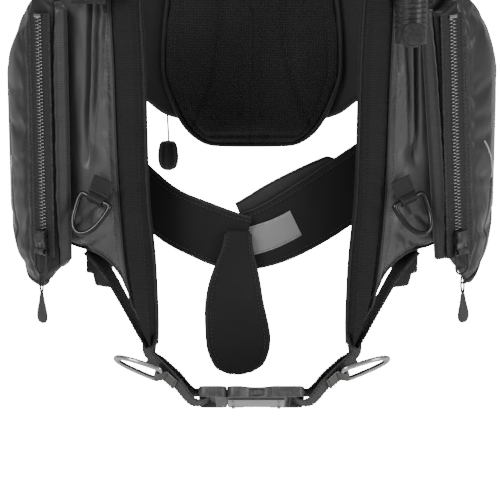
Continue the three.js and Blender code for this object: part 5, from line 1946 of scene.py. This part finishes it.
# ---------- shoulder straps, their buckles and webbing ----------
for name, sign, _, _, seed in SIDES:
    x = lambda value: sign * value
    strap_points = [
        (x(122), -268, 222),
        (x(117), -255, 254),
        (x(108), -218, 294),
        (x(100), -158, 316),
        (x(92), -95, 304),
        (x(86), -56, 264),
        (x(82), -43, 230),
        (x(82), -41.3, 203),
    ]
    path = Path(strap_points)
    across = lambda t: (1, x(-0.139) * max(0, 3 * t - 2), 0)
    width = lambda t: 62 * (1 - 0.12 * np.clip(1 - t / 0.05, 0, 1) ** 2)
    thick = lambda t, v: 4.6 + 4.2 * np.sin(math.pi * np.clip(v, 0.03, 0.97)) ** 0.6
    strap = ribbon(
        f"{name}_shoulder_pad", path, neoprene, width, across, thick, 170, width_steps=22, soften=0.7,
        even=False,
    )
    settle(strap, "vest", "strap_pad", f"shoulder_strap_{name}")
    t = np.linspace(0.004, 0.996, 150)
    along = path.tangent(t)
    wide = np.array([across(k) for k in t], float)
    side = unit(wide - along * np.einsum("ij,ij->i", wide, along)[:, None])
    out = unit(np.cross(along, side))
    half = width(t)[:, None] / 2
    for label, way in (("inner", -1), ("outer", 1)):
        settle(
            tube(f"{name}_shoulder_{label}_binding", path.at(t) + side * half * way, 2.3, binding, 8),
            "vest", "strap_pad",
        )
    rows = [path.at(t) + side * half * way * 0.86 + out * lift for way in (-1, 1) for lift in (-3.5, 3.5)]
    settle(stitches(f"{name}_shoulder_stitches", rows, thread, 4.2, 2.9, 0.7), "vest", "strap_pad")

    axis = unit((x(0.12), 0.2, -1))
    front = unit((0, -1, -0.2))
    mouth = np.array((x(135), -269.0, 154.0))
    latch = refined(f"{name}_shoulder_latch", f"shoulder_latch_{name}", plastic, 1.2, 3)
    settle(latch, f"shoulder_latch_{name}", "plastic", f"shoulder_latch_{name}")
    socket = refined(f"{name}_shoulder_socket", f"shoulder_socket_{name}", plastic, 1.2, 3)
    settle(socket, "vest", "plastic", f"shoulder_socket_{name}")
    place = facing(mouth, axis, front)
    ridges = np.array([place.put((h, y, 5.1)) for h in (6.0, 9.5, 13.0) for y in np.linspace(-14, 14, 9)])
    ways, ups = np.tile(place.axes[1], (len(ridges), 1)), np.tile(place.axes[2], (len(ridges), 1))
    settle(
        grown(
            f"{name}_shoulder_ridges", BLOCKS, [ridges], ways, ups, Size=(0.0034, 0.0014, 0.0010),
            Finish=plastic,
        ),
        "vest", "plastic",
    )

    sewn = [(x(118.5), -264.6, 249), (x(122), -274, 224), (x(127), -276, 206)]
    upper = Path(looped(mouth, -axis, front, 22.0, sewn, [(x(130), -285, 196)]))
    piece = ribbon(
        f"{name}_upper_webbing", upper, webbing, 37, lambda t: (1, 0, 0), 2.2, 110, width_steps=10,
        even=False,
    )
    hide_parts(f"shoulder_webbing_{name}")
    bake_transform(piece)
    on_lobe = SKIN + LOBE_THICK + WEBBING_THICK / 2 - 0.7
    held = [tuple(wall([sign * 42.0], z, on_lobe)[0]) for z in (47.0, 58.0)] + [(x(147), -257, 78)]
    lower = Path(looped(mouth, axis, front, 50.0, held, [(x(146), -270, 64)]))
    flat = lambda t: (1, x(0.42) * max(0, 1 - 3 * t), 0)
    piece = ribbon(f"{name}_lower_webbing", lower, webbing, 37, flat, 2.2, 120, width_steps=10, even=False)
    settle(piece, "vest", "webbing", f"lobe_webbing_{name}")

# ---------- inflator hose, elbow and power inflator ----------
REAR_SURFACE = SKIN + REAR_THICK + GAP
elbow_place = stand_on_wall(141, 148, REAR_SURFACE)
elbow = refined("hose_elbow_body", "hose_elbow", plastic, 1.4, 3)
settle(elbow, "vest", "plastic", "hose_elbow")
hose_start = elbow_place.put((0, 17, 38 + GAP))
hose_points = [
    hose_start,
    hose_start + np.array((0, 0, 40.0)),
    (156, -62, 300),
    (160, -140, 336),
    (160, -225, 322),
    (154, -284, 276),
    (150, -308, 222),
    (150, -312, 160),
    (150, -312, 110),
]
hose_path = Path(hose_points)
t = hose_path.even(260)
hose = tube("corrugated_hose", hose_path.at(t), 13.0, rubber, 24)
ridged = grown(
    "hose_corrugations", HOOPS, [hose_path.at(hose_path.even(400)[16:-16])], Pitch=0.0062, Radius=0.0132,
    Thickness=0.0021, Finish=rubber,
)
for piece in (hose, ridged):
    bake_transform(piece)
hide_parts("inflator_hose")
for label, where, body in (("elbow", t[7], "vest"), ("inflator", t[-8], "inflator")):
    at = hose_path.at([where])[0]
    way = hose_path.tangent([where])[0]
    place = facing(at, (1, 0.2, 0.1), way)
    cuff = [
        (12.6, -9), (15.8, -9), (16.2, -8), (16.2, -3), (15.2, -2.4), (15.2, 2.4), (16.2, 3), (16.2, 8),
        (15.8, 9), (12.6, 9),
    ]
    settle(lathe(f"hose_{label}_clamp", cuff, place.put, satin_plastic, 48, 24, 0.5), body, "plastic")

head = refined("power_inflator_body", "inflator_body", plastic, 1.2, 3)
settle(head, "inflator", "plastic", "inflator_body")
inflate = refined("inflate_push_button", "inflate_button", steel, 1.0, 3)
settle(inflate, "inflate_button", "steel", "inflate_button")
deflate = refined("deflate_push_button", "deflate_button", satin_plastic, 1.0, 3)
settle(deflate, "deflate_button", "plastic", "deflate_button")
inflator_place = Frame((150, -312, 109.6), (0, 0, -1), (1, 0, 0))
grip_line = [np.array([inflator_place.put((h, 0, 0)) for h in np.linspace(56, 80, 20)])]
settle(
    grown(
        "inflator_grip_rings", HOOPS, grip_line, Pitch=0.0042, Radius=0.0150, Thickness=0.0008,
        Finish=plastic,
    ),
    "inflator", "plastic",
)
nipple_line = [np.array([inflator_place.put((34, y, 0)) for y in np.linspace(24, 31, 8)])]
settle(
    grown("inlet_rings", HOOPS, nipple_line, Pitch=0.0028, Radius=0.0060, Thickness=0.0007, Finish=steel),
    "inflator", "steel",
)
mouth_side = 1 if inflator_place.axes[2][1] < 0 else -1
mouth_line = [np.array([inflator_place.put((84, 0, mouth_side * h)) for h in np.linspace(19, 28, 8)])]
settle(
    grown(
        "mouthpiece_ridges", HOOPS, mouth_line, Pitch=0.0030, Radius=0.0100, Thickness=0.0009,
        Finish=rubber,
    ),
    "inflator", "rubber",
)

# ---------- dump valves and their pulls ----------
KNOB_OUT = 14.7
KNOB = [
    (0.3, -33), (4.5, -32.3), (7.5, -30.5), (10.2, -27), (11.4, -22), (11.8, -17), (11.2, -9), (9.4, -2),
    (7.6, 0), (0.3, 0),
]
for node, label, angle, z, radius, cord in (
    ("rear_dump", "rear", -159.5, -46, 24, 62), ("shoulder_dump", "shoulder", -141, 158, 22, 46)
):
    place = stand_on_wall(angle, z, REAR_SURFACE)
    turned = lambda p: place.put(np.stack([p[:, 0], p[:, 2], p[:, 1]], 1))
    body = refined(f"{label}_dump_body", f"{node}_valve", plastic, 1.0, 3)
    settle(body, "vest", "plastic", f"{node}_valve")
    cap = [
        (0.2, 16.0), (radius * 0.3, 16.6), (radius * 0.62, 16.4), (radius * 0.74, 15.2),
        (radius * 0.78, 12.0), (radius * 0.5, 11.0), (0.2, 11.0),
    ]
    settle(lathe(f"{label}_dump_cap", cap[::-1], turned, satin_plastic, 60, 20, 0.8), "vest", "plastic")
    rim = np.linspace(0, 2 * math.pi, 16, endpoint=False)
    slots = np.array([place.put((
        radius * 0.9 * math.cos(a), 9.3, radius * 0.9 * math.sin(a),
    )) for a in rim])
    ways = np.array([place.axes[0] * math.cos(a) + place.axes[2] * math.sin(a) for a in rim])
    ups = np.tile(place.axes[1], (16, 1))
    settle(
        grown(
            f"{label}_dump_studs", BLOCKS, [slots], ways, ups, Size=(0.0038, 0.0022, 0.0012),
            Finish=plastic,
        ),
        "vest", "plastic",
    )
    pull = f"{node}_pull"
    top = 6 - radius
    line = [place.put((0.5 * math.sin(h / 7), KNOB_OUT, top - h)) for h in np.linspace(-9, cord + 1, 46)]
    settle(tube(f"{label}_dump_cord", line, 1.0, webbing, 8), pull, "rubber")
    curve = Path([(r, 0, h) for r, h in KNOB])
    shape = curve.at(curve.even(40))
    hung = lambda p: place.put(np.stack([p[:, 0], KNOB_OUT + p[:, 1], p[:, 2] + 7 - radius - cord], 1))
    knob = lathe(
        f"{label}_dump_knob", np.stack([np.abs(shape[:, 0]) + 0.05, shape[:, 2]], 1), hung, rubber, 72, 9,
        2.0,
    )
    settle(knob, pull, "rubber", pull)

# ---------- floor ----------
FLOOR = -0.43
uvw, quads = box_surface(6, 6, 1)
floor_points = (uvw - (0.5, 0.5, 1.0)) * (7000.0, 7000.0, 20.0) + (0, 0, FLOOR / MM)
finished_mesh("floor", floor_points, quads, floor_paint, None, None, sharp=30)
